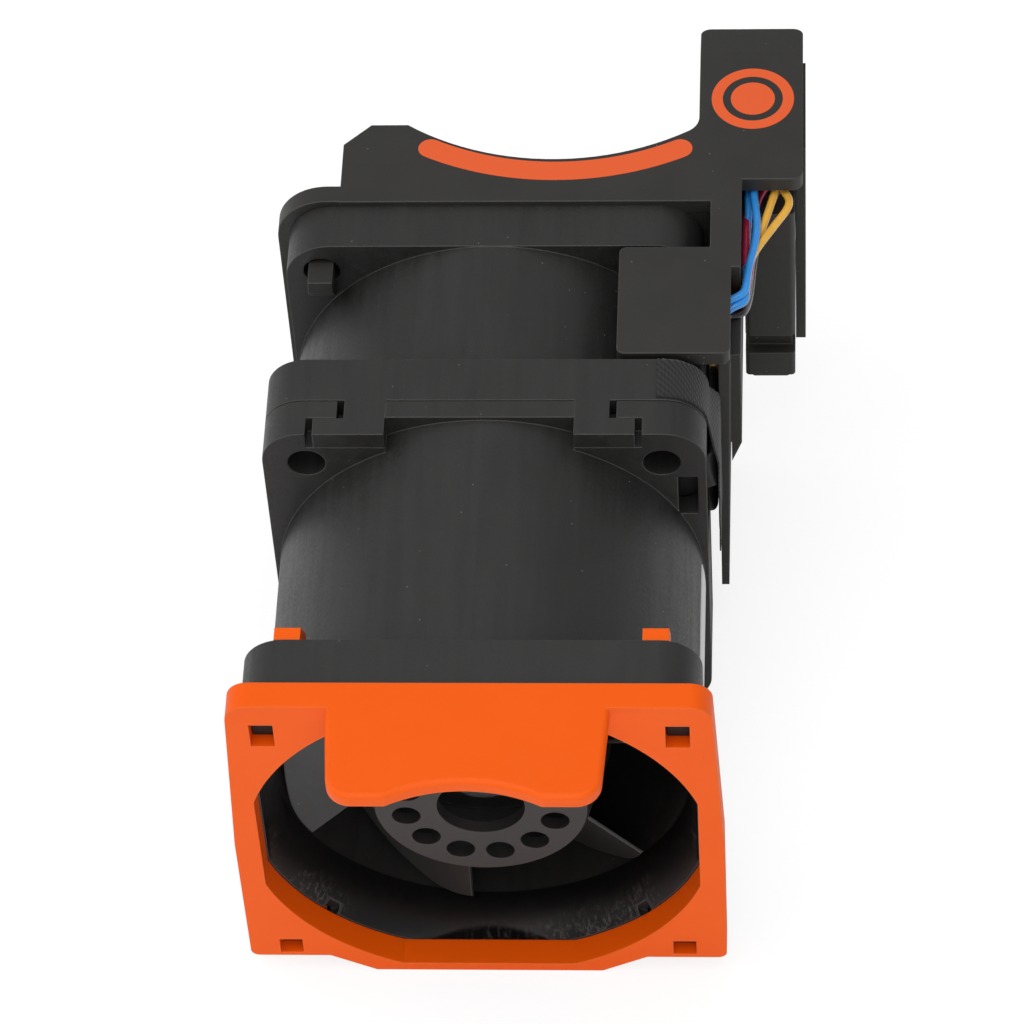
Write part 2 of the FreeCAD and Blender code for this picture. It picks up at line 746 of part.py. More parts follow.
# ---------------------------------------------------------------- front bezel
def bezel_plate():
    """Face plate with a wider foot and a flat bulge below the opening."""
    outline = [(-bezel_half_top, bezel_top), (bezel_half_top, bezel_top),
               (bezel_half_bottom, axis_z), (bezel_half_bottom, bezel_foot),
               (bulge_half_wide, bezel_foot), (bulge_half, 0), (-bulge_half, 0),
               (-bulge_half_wide, bezel_foot), (-bezel_half_bottom, bezel_foot),
               (-bezel_half_bottom, axis_z)]
    face_y = front_y - bezel_depth
    plate = prism([V(x, face_y, z) for x, z in outline], V(0, bezel_depth, 0))
    plate = rounded_where(plate, bezel_corner, "y", lambda at: at.z > bezel_top - 1)
    plate = rounded_where(plate, 0.8, "y",
                          lambda at: at.z < bezel_foot + 1 and abs(at.x) > bulge_half_wide + 1)
    opening = rod(opening_r, face_y, front_y)
    opening = opening.common(block(-opening_half, opening_half, face_y, front_y,
                                   axis_z - opening_low, axis_z + opening_high))
    plate = plate.cut(opening)
    for x in (-port_x, port_x):
        x0 = x - port_width / 2
        x1 = x + port_width / 2
        for middle, height in ((port_top, port_height), (port_bottom, port_bottom_height)):
            z = axis_z + middle
            plate = plate.cut(block(x0, x1, face_y, front_y, z - height / 2, z + height / 2))
    return plate


def finger_tab():
    """Flat tab level with the top of the bezel, with a scooped front edge."""
    root_y = front_y - bezel_depth / 2
    tip_y = front_y - bezel_depth - tab_reach
    z0 = bezel_top - tab_thickness
    outline = [V(-tab_half_root, root_y, z0), V(-tab_half_tip, tip_y, z0),
               V(tab_half_tip, tip_y, z0), V(tab_half_root, root_y, z0)]
    tab = prism(outline, V(0, 0, tab_thickness))
    tab = rounded_where(tab, tab_corner, "z", lambda at: at.y < tip_y + 1)
    scoop = (tab_scoop_half ** 2 + tab_scoop_depth ** 2) / (2 * tab_scoop_depth)
    bite = Part.makeCylinder(scoop, tab_thickness, V(0, tip_y + tab_scoop_depth - scoop, z0))
    tab = tab.cut(bite)
    rim = [e for e in tab.Edges if e.BoundBox.ZMin > bezel_top - 0.01
           and e.BoundBox.YMax < root_y - 0.01]
    return tab.makeFillet(min(0.45, tab_thickness / 3), rim)


def make_front_bezel():
    """Moulded bezel with its opening, core-outs, finger tab and four snap hooks."""
    body = bezel_plate().fuse(finger_tab())
    for x in (-hole_at, hole_at):
        body = body.fuse(snap_hook(x, axis_z + hole_at, front_y, 1, inlet_flange, 1, bezel_barb))
        body = body.fuse(snap_hook(x, axis_z - hole_at, front_y, 1, inlet_flange, -1, bezel_barb))
    return body.removeSplitter()


# ---------------------------------------------------------------- rear bracket
def deck_outline():
    """Outline of the deck behind the outlet face, its finger scoop and the arm."""
    edge_y = back_y + deck_back
    centre = V(scoop_x, edge_y - scoop_depth + scoop_r, deck_z)
    start_dx = math.sqrt(scoop_r ** 2 - (centre.y - edge_y) ** 2)
    start = V(centre.x - start_dx, edge_y, deck_z)
    bottom = V(centre.x, centre.y - scoop_r, deck_z)
    end_dx = arm_left - scoop_x
    end = V(arm_left, centre.y - math.sqrt(scoop_r ** 2 - end_dx ** 2), deck_z)
    near_y = back_y + arm_front
    far_y = back_y + arm_length
    corners = [end, V(arm_left, far_y, deck_z), V(arm_right, far_y, deck_z),
               V(arm_right, near_y, deck_z), V(rail_right, near_y, deck_z),
               V(rail_right, back_y, deck_z), V(deck_left, back_y, deck_z),
               V(deck_left, edge_y - deck_chamfer, deck_z),
               V(deck_left + deck_chamfer, edge_y, deck_z), start]
    edges = [Part.Arc(start, bottom, end).toShape()]
    for a, b in zip(corners[:-1], corners[1:]):
        edges.append(Part.makeLine(a, b))
    return Part.Wire(edges)


def make_deck():
    """Flat deck with the finger scoop, the touch-point arm and its bent lip."""
    deck = Part.Face(deck_outline()).extrude(V(0, 0, plate_thickness))
    far_y = back_y + arm_length
    deck = rounded_where(deck, arm_fillet, "z", lambda at: abs(at.x - arm_left) < 0.1
                         and at.y < far_y - 1)
    deck = rounded_where(deck, 1.0, "z", lambda at: abs(at.x - arm_right) < 0.1
                         and at.y < far_y - 1)
    lip = block(arm_left, arm_right, far_y, far_y + lip_length, deck_z, frame_size)
    lip = rounded_where(lip, 1.0, "z", lambda at: at.y > far_y + 1)
    lip.rotate(V(0, far_y, frame_size), V(1, 0, 0), -lip_angle)
    return deck.fuse(lip)


def make_back_frame():
    """Frame against the outlet face, open over the duct."""
    y0 = back_y + bracket_gap
    frame = block(-back_frame_half, back_frame_half, y0, y0 + back_frame, 0, frame_size)
    frame = rounded(frame, back_frame_corner, "y")
    corner = block(rail_right - back_frame_corner, rail_right, y0, y0 + back_frame, deck_z,
                   frame_size)
    return frame.fuse(corner).cut(rod(duct_r, y0, y0 + back_frame))


def make_pad():
    """Deck beside and in front of the outlet flange: a side rail and a flat pad over the barrel."""
    y0 = back_y - pad_front
    rail = block(slot_right, rail_right, back_y - rail_front, back_y + arm_front, deck_z, frame_size)
    inner = block(slot_right, pad_right, y0 + 1, back_y, deck_z, frame_size)
    pad = block(pad_left, pad_right, y0, back_y - pad_back, deck_z, frame_size)
    return rail.fuse(inner).fuse(rounded(pad, 0.7, "z"))


def skirt_front():
    """Near face of the wall beside the fan, just behind the pad's edge."""
    return back_y - pad_front + 0.2


def make_skirt():
    """Wall beside the fan and, outside it, the wall of the lead channel with its gate."""
    y0 = skirt_front()
    y1 = back_y + bracket_gap + back_frame
    foot_z = deck_z - skirt_depth
    foot_right = pad_right - skirt_lean
    skirt = prism([V(skirt_left, y0, deck_z), V(pad_right, y0, deck_z), V(foot_right, y0, foot_z),
                   V(skirt_left - skirt_lean / 4, y0, foot_z)], V(0, y1 - y0, 0))
    jog_y = back_y - wall_front
    skirt = skirt.cut(block(skirt_left - 1, pad_right + 1, jog_y, back_y, channel_floor, deck_z))
    wall_foot = deck_z - wall_depth
    wall = prism([V(wall_left, jog_y, deck_z), V(rail_right, jog_y, deck_z),
                  V(rail_right, jog_y, wall_foot + wall_chamfer), V(wall_left, jog_y, wall_foot)],
                 V(0, bay_end() - jog_y, 0))
    wall = wall.cut(block(wall_left, rail_right, jog_y, back_y - rail_front, gate_sill, deck_z))
    jog = block(skirt_left, rail_right - 0.2, jog_y, jog_y + jog_thickness,
                wall_foot + wall_chamfer, gate_sill)
    web = block(half - 1, pad_right - skirt_lean, back_y + bracket_gap, y1, foot_z, deck_z)
    return skirt.fuse(wall).fuse(jog).fuse(web)


def bay_end():
    """Far face of the connector bay."""
    return back_y + plug_front + plug_length + bay_back


def make_bay():
    """Right and rear walls round the connector, with the window that its lug snaps into."""
    y0 = back_y + cheek_front
    y1 = bay_end()
    foot_z = deck_z - cheek_depth
    cheek_left = cheek_right - cheek_thickness
    cheek = prism([V(cheek_left, y0, deck_z), V(cheek_left, y0, foot_z + cheek_chamfer),
                   V(cheek_left, y0 + cheek_chamfer, foot_z), V(cheek_left, y1, foot_z),
                   V(cheek_left, y1, deck_z)], V(cheek_thickness, 0, 0))
    cheek = cheek.cut(lug(0.15))
    rear = block(wall_left, cheek_right, y1 - bay_back, y1, deck_z - bay_depth, deck_z)
    return cheek.fuse(rear)


def lug(grow):
    """Lug on the connector's right side, grown by a clearance for its window."""
    y = back_y + cheek_front + 3.0
    z = plug_top - plug_height / 2
    return block(plug_right - 0.2 - grow, cheek_right - 0.25 + 2 * grow, y - grow, y + 5.0 + grow,
                 z - 1.2 - grow, z + 1.2 + grow)


def make_rear_bracket():
    """Moulded bracket: frame, deck, pad, skirt, connector bay and four snap hooks."""
    body = make_back_frame().fuse(make_deck()).fuse(make_pad())
    body = body.fuse(make_skirt()).fuse(make_bay())
    y = back_y + bracket_gap
    depth = outlet_flange + bracket_gap
    for x in (-hole_at, hole_at):
        body = body.fuse(snap_hook(x, axis_z + hole_at, y, -1, depth, -1, bracket_barb))
        body = body.fuse(snap_hook(x, axis_z - hole_at, y, -1, depth, 1, bracket_barb))
    return body.removeSplitter()


# ---------------------------------------------------------------- connector
def contact_places():
    """Centre of every contact, seen from above."""
    places = []
    middle_x = (plug_left + plug_right) / 2
    middle_y = back_y + plug_front + plug_length / 2
    for column in range(contact_columns):
        y = middle_y + (column - (contact_columns - 1) / 2) * contact_pitch
        for row in (-0.5, 0.5):
            places.append((middle_x + row * contact_row_pitch, y))
    return places


def plug_foot():
    """Height of the connector's lower end."""
    return plug_top - plug_height - neck_height - collar_height - nose_height


def make_connector_housing():
    """Connector body with neck, collar and mating nose, open cavities and a snap lug."""
    y0 = back_y + plug_front
    y1 = y0 + plug_length
    neck_z = plug_top - plug_height
    collar_z = neck_z - neck_height
    nose_z = collar_z - collar_height
    body = rounded(block(plug_left, plug_right, y0, y1, neck_z, plug_top), 0.5, "z")
    body = body.fuse(block(plug_left + 0.3, plug_right - 0.3, y0 + neck_inset, y1 - neck_inset,
                           collar_z, neck_z))
    body = body.fuse(rounded(block(plug_left, plug_right, y0, y1, nose_z, collar_z), 0.4, "z"))
    nose = block(plug_left + 0.5, plug_right - 0.5, y0 + nose_inset, y1 - nose_inset,
                 plug_foot(), nose_z)
    body = body.fuse(rounded(nose, 0.4, "z")).fuse(lug(0.0))
    for x, y in contact_places():
        side = contact_cavity / 2
        body = body.cut(block(x - side, x + side, y - side, y + side, plug_foot(), plug_top))
    return body.removeSplitter()


def make_connector_contacts():
    """One formed contact in each cavity, its crimp end up."""
    contacts = []
    side = contact_size / 2
    z0 = plug_foot() + 0.6
    for x, y in contact_places():
        blade = block(x - side, x + side, y - side, y + side, z0, z0 + contact_length)
        wide = contact_cavity / 2
        crimp = block(x - wide, x + wide, y - wide, y + wide, z0 + contact_length,
                      z0 + contact_length + 3.0)
        contacts.append(blade.fuse(crimp))
    return Part.makeCompound(contacts)


# ---------------------------------------------------------------- leads
def smooth_path(points, limits):
    """Straight runs joined by tangent arcs, as large as the runs and the given limits allow."""
    edges = []
    start = points[0]
    for i in range(1, len(points) - 1):
        corner = points[i]
        a = (points[i - 1] - corner).normalize()
        b = (points[i + 1] - corner).normalize()
        turn = math.pi - a.getAngle(b)
        shorter = min(points[i - 1].distanceToPoint(corner), corner.distanceToPoint(points[i + 1]))
        radius = min(0.45 * shorter / math.tan(turn / 2), limits.get(i, 1e6))
        setback = radius * math.tan(turn / 2)
        leave = corner + a * setback
        arrive = corner + b * setback
        middle = corner + (a + b).normalize() * (radius / math.cos(turn / 2) - radius)
        edges.append(Part.LineSegment(start, leave).toShape())
        edges.append(Part.Arc(leave, middle, arrive).toShape())
        start = arrive
    edges.append(Part.LineSegment(start, points[-1]).toShape())
    return Part.Wire(edges)


def make_lead(points, limits):
    """Insulated lead along a path."""
    path = smooth_path(points, limits)
    along = (points[1] - points[0]).normalize()
    side = along.cross(V(0, 1, 0)).normalize()
    up = along.cross(side)
    corners = []
    for k in range(lead_sides + 1):
        turn = 2 * math.pi * (k % lead_sides + 0.5) / lead_sides
        corners.append(points[0] + side * (lead_r * math.cos(turn)) + up * (lead_r * math.sin(turn)))
    section = Part.makePolygon(corners)
    tube = path.makePipeShell([section], True, False)
    expected = path.Length * Part.Face(section).Area
    assert abs(tube.Volume / expected - 1) < 0.02, "lead volume"
    return tube


def lead_side_x():
    """Where the leads run along the right side of the fans."""
    return half + lead_r + 0.05


def lead_start(fan, lane):
    """A lead's run through its groove, from the board to outside the duct."""
    offset = (1.5 - lane) * lead_pitch
    depth = groove_depth - lead_r - 0.03
    if fan == 0:
        angle = math.radians(front_strut_angle)
        y = front_base_y + depth
    else:
        angle = math.radians(rear_strut_angle)
        y = rear_base_y - depth
    along = V(math.cos(angle), 0, math.sin(angle))
    across = V(-math.sin(angle), 0, math.cos(angle))
    inner = V(0, y, axis_z) + along * (board_r - 0.7) - across * offset
    run = (lead_side_x() - inner.x) / along.x
    return inner, inner + along * run


def lead_route(fan, lane):
    """Route of one lead of one fan: groove, side of the fans, channel, gate, connector."""
    inner, outer = lead_start(fan, lane)
    layer_x = half + (inner_layer_side, outer_layer_side)[fan]
    height = deck_z - layer_drops[fan]
    column_y = back_y - wall_front + 3.5 + gate_pitch * (3 - lane)
    climb_y = back_y - wall_front + climb_start[fan] + climb_stagger[fan] * (3 - lane)
    lane_x = rail_right + lead_r + 0.1 + lane_pitch * lane
    far = lane % 2
    place_x, place_y = contact_places()[2 * (2 * (1 - fan) + far) + lane // 2]
    points = [inner, outer, V(outer.x, climb_y, outer.z), V(layer_x, column_y, height),
              V(lane_x, column_y, height),
              V(plug_left + lane_ends[lane], back_y + plug_front - 1.5, height)]
    if far:
        # round the outside of the lead that goes down into the nearer row
        points.append(V(place_x + 2.15 * lead_r, place_y - contact_pitch + 0.4, height))
    return points + [V(place_x, place_y, height), V(place_x, place_y, plug_top - 3.0)]


def make_leads(places):
    """Leads of one colour, given as (fan, lane) pairs: fan 0 is the front one."""
    tight = {1: lead_bend, 4: gate_bend}
    return Part.makeCompound([make_lead(lead_route(f, lane), tight) for f, lane in places])


# ---------------------------------------------------------------- tape and label
def tape_sheet(y0, y1):
    """Cloth tape round the corner of the flange and over the leads, from y0 to y1."""
    lead_x = lead_side_x() + lead_r + 0.03
    high_z = lead_start(0, 3)[1].z + lead_r + 0.15
    low_z = axis_z + tape_foot

    def outline(grow):
        """Closed outline round the corner, grown outwards."""
        corner = frame_corner + grow
        at = half - frame_corner
        c = corner * math.sqrt(0.5)
        start = half - tape_top_length
        p = [V(start, y0, frame_size + grow), V(at, y0, frame_size + grow),
             V(at + c, y0, axis_z + at + c), V(half + grow, y0, axis_z + at),
             V(lead_x + grow, y0, high_z), V(lead_x + grow, y0, low_z + 0.8),
             V(half + grow, y0, low_z - 0.6), V(half + grow, y0, low_z - 4.0),
             V(half - 3, y0, low_z - 4.0), V(start, y0, axis_z)]
        wire = Part.Wire([Part.makeLine(p[0], p[1]), Part.Arc(p[1], p[2], p[3]).toShape()]
                         + [Part.makeLine(a, b) for a, b in zip(p[3:], p[4:] + [p[0]])])
        return Part.Face(wire).extrude(V(0, y1 - y0, 0))

    return outline(tape_thickness).cut(outline(0.0))


def make_cloth_tape():
    """Tape over the corner of the rear fan's seam flange, wider where it holds the leads."""
    strip = tape_sheet(seam_y + 0.3, seam_y + rear_seam_flange - 0.1)
    y0 = seam_y - tape_lead_in
    y1 = skirt_front() - tape_clear
    lower = block(half - 4, half + 4, y0, y1, axis_z + tape_foot - 0.6, axis_z + tape_side_height)
    return strip.fuse(tape_sheet(y0, y1).common(lower)).removeSplitter()


def make_side_label():
    """Blank label on the right side of the front fan's barrel."""
    y0 = front_y + label_front
    sheet = rod(barrel_r + label_thickness, y0, y0 + label_length)
    sheet = sheet.cut(rod(barrel_r, y0, y0 + label_length))
    reach = barrel_r + 2
    corners = [V(0, y0, axis_z)]
    for angle in (label_low, label_high):
        rise = reach * math.tan(math.radians(angle))
        corners.append(V(reach, y0, axis_z + rise))
    sector = prism(corners, V(0, label_length, 0))
    return sheet.common(sector)


# ---------------------------------------------------------------- write every node
os.makedirs("parts", exist_ok=True)
save("front_bezel", make_front_bezel())
save("front_fan_housing", make_front_fan_housing())
save("rear_fan_housing", make_rear_fan_housing())
save("rear_bracket", make_rear_bracket())
save("front_impeller", seat_front(make_front_impeller()))
save("rear_impeller", seat_rear(make_rear_impeller()))
for fan, seat, stack, reach in (("front", seat_front, front_stack, front_reach),
                                ("rear", seat_rear, rear_stack, rear_reach)):
    save(fan + "_rotor_cup", seat(make_rotor_cup(stack, reach)))
    save(fan + "_magnet_ring", seat(make_magnet_ring(stack)))
    save(fan + "_shaft", seat(make_shaft(reach)))
    save(fan + "_retaining_clip", seat(make_retaining_clip()))
    save(fan + "_spring_washer", seat(make_spring_washer(stack)))
    save(fan + "_bearings", seat(make_bearings(stack)))
    save(fan + "_stator_core", seat(make_stator_core(stack)))
    save(fan + "_stator_insulators", seat(make_stator_insulators(stack)))
    save(fan + "_stator_coils", seat(make_stator_coils(stack)))
    save(fan + "_circuit_board", seat(make_circuit_board()))
save("connector_housing", make_connector_housing())
save("connector_contacts", make_connector_contacts())
save("blue_leads", make_leads([(0, 0), (0, 1)]))
save("yellow_leads", make_leads([(0, 2), (0, 3)]))
save("red_leads", make_leads([(1, 0), (1, 3)]))
save("black_leads", make_leads([(1, 1), (1, 2)]))
save("cloth_tape", make_cloth_tape())
save("side_label", make_side_label())
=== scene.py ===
"""Dressed server fan module: two fans in line, an orange inlet bezel and a black rear bracket.

Metres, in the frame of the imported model: +X is to the connector side, +Y is the way the air flows, +Z is up.
"""
import math

import bmesh
import bpy
from mathutils import Matrix, Vector


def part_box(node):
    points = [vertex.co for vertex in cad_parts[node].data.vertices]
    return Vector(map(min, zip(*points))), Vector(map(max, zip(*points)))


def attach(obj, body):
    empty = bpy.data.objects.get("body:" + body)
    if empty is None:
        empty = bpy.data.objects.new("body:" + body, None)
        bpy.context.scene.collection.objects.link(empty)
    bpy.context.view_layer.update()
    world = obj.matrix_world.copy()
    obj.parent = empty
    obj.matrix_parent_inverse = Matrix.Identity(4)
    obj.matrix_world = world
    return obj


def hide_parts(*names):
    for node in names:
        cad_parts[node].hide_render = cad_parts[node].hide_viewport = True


bl_info = {
    "name": "Server fan module",
    "version": (1, 0, 0),
    "blender": (4, 5, 0),
    "location": "View3D > Sidebar > Fan Module",
    "description": "Dresses the fan module: mouldings, motors, leads, tape, prints and the stage",
    "category": "Add Mesh",
}

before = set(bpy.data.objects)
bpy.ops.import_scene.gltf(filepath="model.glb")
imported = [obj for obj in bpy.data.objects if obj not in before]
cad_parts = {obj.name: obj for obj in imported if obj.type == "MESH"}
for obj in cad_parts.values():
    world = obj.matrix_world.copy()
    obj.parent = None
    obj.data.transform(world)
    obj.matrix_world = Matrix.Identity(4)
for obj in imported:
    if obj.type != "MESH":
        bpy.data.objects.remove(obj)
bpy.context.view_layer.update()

MM = 0.001
FRONT_LOW, FRONT_HIGH = (Vector(c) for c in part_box("front_fan_housing"))
REAR_HIGH = Vector(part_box("rear_fan_housing")[1])
BRACKET_HIGH = Vector(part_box("rear_bracket")[1])

DECK_TOP = BRACKET_HIGH.z
SEAM_Y = FRONT_HIGH.y
AXIS_Z = (FRONT_LOW.z + FRONT_HIGH.z) / 2
BEZEL_THICKNESS = 2.65 * MM
BEZEL_FACE_Y = FRONT_LOW.y - BEZEL_THICKNESS


# ---------------------------------------------------------------- sizes and colours a user may change
class FanModuleColours(bpy.types.PropertyGroup):
    """Colours of the plastics, the prints and the leads, as sRGB hex values."""

    orange: bpy.props.StringProperty(name="Bezel", description="Moulded ABS of the bezel", default="#F45E00")
    black: bpy.props.StringProperty(name="Housings", description="Glass-filled plastic of both fans",
                                    default="#191817")
    bracket: bpy.props.StringProperty(name="Bracket", description="Moulded nylon of the bracket",
                                      default="#1E1D1B")
    blade: bpy.props.StringProperty(name="Impellers", description="Plastic of both impellers",
                                    default="#222221")
    print_orange: bpy.props.StringProperty(name="Prints", description="Printed touch points",
                                           default="#E55A22")
    blue: bpy.props.StringProperty(name="Blue leads", description="PVC insulation", default="#3899E6")
    yellow: bpy.props.StringProperty(name="Yellow leads", description="PVC insulation", default="#F0B94A")
    red: bpy.props.StringProperty(name="Red leads", description="PVC insulation", default="#B02048")
    dark: bpy.props.StringProperty(name="Black leads", description="PVC insulation", default="#1B1A1C")


class FanModuleSizes(bpy.types.PropertyGroup):
    """Edge radii and small sizes of the dressed pieces."""

    housing_edge: bpy.props.FloatProperty(name="Housing edge", description="Edge radius of the housings",
                                          default=0.16 * MM, unit="LENGTH", precision=5)
    bezel_edge: bpy.props.FloatProperty(name="Bezel edge", description="Edge radius of the bezel",
                                        default=0.19 * MM, unit="LENGTH", precision=5)
    bracket_edge: bpy.props.FloatProperty(name="Bracket edge", description="Edge radius of the bracket",
                                          default=0.2 * MM, unit="LENGTH", precision=5)
    lead_radius: bpy.props.FloatProperty(name="Lead radius", description="Outside radius of a lead",
                                         default=0.375 * MM, unit="LENGTH", precision=5)
    print_width: bpy.props.FloatProperty(name="Print width", description="Width of the printed arc",
                                         default=2.3 * MM, unit="LENGTH", precision=5)


class FanModuleStage(bpy.types.PropertyGroup):
    """Camera."""

    focal: bpy.props.FloatProperty(name="Focal length", description="Lens of the camera",
                                   default=177.34, unit="CAMERA")
    elevation: bpy.props.FloatProperty(name="Elevation", description="Camera above the horizon",
                                       default=math.radians(51.288), subtype="ANGLE")
    azimuth: bpy.props.FloatProperty(name="Azimuth", description="Camera round the module",
                                     default=math.radians(5.447), subtype="ANGLE")
    roll: bpy.props.FloatProperty(name="Roll", description="Camera turned about its own axis",
                                  default=math.radians(-4.243), subtype="ANGLE")
    distance: bpy.props.FloatProperty(name="Distance", description="Camera to the aimed point",
                                      default=0.45824, unit="LENGTH")


# ---------------------------------------------------------------- small helpers
def linear(hex_colour, alpha=1.0):
    """Linear colour of an sRGB hex value."""
    channels = []
    for start in (1, 3, 5):
        value = int(hex_colour[start:start + 2], 16) / 255
        channels.append(value / 12.92 if value <= 0.04045 else ((value + 0.055) / 1.055) ** 2.4)
    return (*channels, alpha)


def add_node(tree, kind, links=None, values=None, **settings):
    """Adds a node, sets its attributes, sets values on its inputs and links sockets into them."""
    item = tree.nodes.new(kind)
    for key, value in settings.items():
        setattr(item, key, value)
    for key, value in (values or {}).items():
        item.inputs[key].default_value = value
    for key, socket in (links or {}).items():
        tree.links.new(socket, item.inputs[key])
    return item


def new_material(name):
    """Empty material with an output, and its node tree."""
    material = bpy.data.materials.new(name)
    material.use_nodes = True
    material.node_tree.nodes.clear()
    return material, material.node_tree


def finish_material(material, shader):
    """Puts the shader on the material's output."""
    tree = material.node_tree
    add_node(tree, "ShaderNodeOutputMaterial", {"Surface": shader})
    return material


def millimetres(tree):
    """Object coordinates in millimetres."""
    place = add_node(tree, "ShaderNodeTexCoord")
    return add_node(tree, "ShaderNodeMapping", {"Vector": place.outputs["Object"]},
                    {"Scale": (1000.0, 1000.0, 1000.0)}).outputs["Vector"]


def edge_wear_and_highlight(tree, radius):
    """Normal that rounds the edges to a radius, and a mask that is 1 on the edges: it marks wear from handling
    and a painted highlight along them.
    """
    rounded = add_node(tree, "ShaderNodeBevel", values={"Radius": radius}, samples=6)
    shape = add_node(tree, "ShaderNodeNewGeometry")
    turn = add_node(tree, "ShaderNodeVectorMath", {0: rounded.outputs["Normal"], 1: shape.outputs["Normal"]},
                    operation="DOT_PRODUCT")
    mask = add_node(tree, "ShaderNodeMapRange", {"Value": turn.outputs["Value"]},
                    {"From Min": 0.995, "From Max": 0.86})
    return rounded.outputs["Normal"], mask.outputs["Result"]


def dress(node, material):
    """Gives a carried node its material."""
    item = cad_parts[node]
    item.data.materials.clear()
    item.data.materials.append(material)
    return item


def new_piece(name, mesh, body, material):
    """Object of a mesh or curve that rides on a body and takes a slot's finish."""
    item = bpy.data.objects.new(name, mesh)
    bpy.context.collection.objects.link(item)
    item.data.materials.append(material)
    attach(item, body)
    return item


# ---------------------------------------------------------------- materials
def moulded_abs(colours, sizes):
    """Orange ABS, moulded with a fine spark-eroded grain: satin, even colour, soft broad highlights."""
    material, tree = new_material("orange moulded ABS")
    mm = millimetres(tree)
    normal, edge = edge_wear_and_highlight(tree, sizes.bezel_edge)
    # the mould's grain is about 0.12 mm across; its slower waviness about 6 mm
    grain = add_node(tree, "ShaderNodeTexNoise", {"Vector": mm}, {"Scale": 8.0, "Detail": 3.0})
    waves = add_node(tree, "ShaderNodeTexNoise", {"Vector": mm}, {"Scale": 0.16, "Detail": 2.0})
    tone = add_node(tree, "ShaderNodeMix", {"Factor": waves.outputs["Fac"]},
                    {"A": linear(colours.orange), "B": linear("#EE5900")}, data_type="RGBA")
    # the edges are a little paler: partly wear from handling, partly a painted highlight along them
    pale = add_node(tree, "ShaderNodeMath", {0: edge}, {1: 0.45}, operation="MULTIPLY")
    worn_and_highlit = add_node(tree, "ShaderNodeMix", {"Factor": pale.outputs["Value"], "A": tone.outputs["Result"]},
                      {"B": linear("#FF8A48")}, data_type="RGBA")
    gloss = add_node(tree, "ShaderNodeMapRange", {"Value": grain.outputs["Fac"]},
                     {"To Min": 0.4, "To Max": 0.54})
    bump = add_node(tree, "ShaderNodeBump", {"Height": grain.outputs["Fac"], "Normal": normal},
                    {"Strength": 0.12, "Distance": 0.00004})
    shader = add_node(tree, "ShaderNodeBsdfPrincipled",
                      {"Base Color": worn_and_highlit.outputs["Result"], "Roughness": gloss.outputs["Result"],
                       "Normal": bump.outputs["Normal"]}, {"IOR": 1.5, "Specular IOR Level": 0.2})
    return finish_material(material, shader.outputs["BSDF"])


def glass_filled_plastic(name, tint, mottle_and_sheen_tint, edge_radius, rough_low, rough_high, bump_strength, streak):
    """Black glass-filled plastic: moulded, so short fibres mottle the sheen and the flow leaves streaks; in
    the base colour the clouds and streaks are partly the moulding's own tone, partly painted sheen.
    """
    material, tree = new_material(name)
    mm = millimetres(tree)
    normal, edge = edge_wear_and_highlight(tree, edge_radius)
    # fibres about 0.3 mm long, clouds of sheen about 5 mm, flow streaks along the fans' axis
    fibres = add_node(tree, "ShaderNodeTexNoise", {"Vector": mm},
                      {"Scale": 3.2, "Detail": 5.0, "Roughness": 0.65})
    clouds = add_node(tree, "ShaderNodeTexNoise", {"Vector": mm}, {"Scale": 0.22, "Detail": 3.0})
    drawn = add_node(tree, "ShaderNodeMapping", {"Vector": mm}, {"Scale": (1.0, 0.07, 1.0)})
    flow = add_node(tree, "ShaderNodeTexNoise", {"Vector": drawn.outputs["Vector"]},
                    {"Scale": 0.85, "Detail": 4.0, "Roughness": 0.6})
    sheen = add_node(tree, "ShaderNodeMix", {"A": clouds.outputs["Fac"], "B": flow.outputs["Fac"]},
                     {"Factor": streak})
    specks = add_node(tree, "ShaderNodeTexVoronoi", {"Vector": mm}, {"Scale": 0.6}, feature="F1")
    # grains of dust, about 0.13 mm across and some 6 mm apart
    speck_mask = add_node(tree, "ShaderNodeMapRange", {"Value": specks.outputs["Distance"]},
                          {"From Min": 0.04, "From Max": 0.022, "To Min": 0.0, "To Max": 0.55})
    # base colour lighter in the clouds and streaks: partly the moulding's own tone, partly painted sheen
    tone = add_node(tree, "ShaderNodeMix", {"Factor": sheen.outputs["Result"]},
                    {"A": linear(tint), "B": linear(mottle_and_sheen_tint)}, data_type="RGBA")
    # the edges are a little paler: partly wear from handling, partly a painted highlight along them
    pale = add_node(tree, "ShaderNodeMath", {0: edge}, {1: 0.42}, operation="MULTIPLY")
    worn_and_highlit = add_node(tree, "ShaderNodeMix", {"Factor": pale.outputs["Value"], "A": tone.outputs["Result"]},
                      {"B": linear("#5E5C58")}, data_type="RGBA")
    dusty = add_node(tree, "ShaderNodeMix", {"Factor": speck_mask.outputs["Result"],
                                             "A": worn_and_highlit.outputs["Result"]},
                     {"B": linear("#A29F99")}, data_type="RGBA")
    mottle = add_node(tree, "ShaderNodeMath", {0: fibres.outputs["Fac"], 1: sheen.outputs["Result"]},
                      {2: 0.1}, operation="MULTIPLY_ADD")
    gloss = add_node(tree, "ShaderNodeMapRange", {"Value": mottle.outputs["Value"]},
                     {"From Min": 0.2, "From Max": 0.5, "To Min": rough_low, "To Max": rough_high})
    bump = add_node(tree, "ShaderNodeBump", {"Height": fibres.outputs["Fac"], "Normal": normal},
                    {"Strength": bump_strength, "Distance": 0.00006})
    shader = add_node(tree, "ShaderNodeBsdfPrincipled",
                      {"Base Color": dusty.outputs["Result"], "Roughness": gloss.outputs["Result"],
                       "Normal": bump.outputs["Normal"]}, {"IOR": 1.5})
    return finish_material(material, shader.outputs["BSDF"])


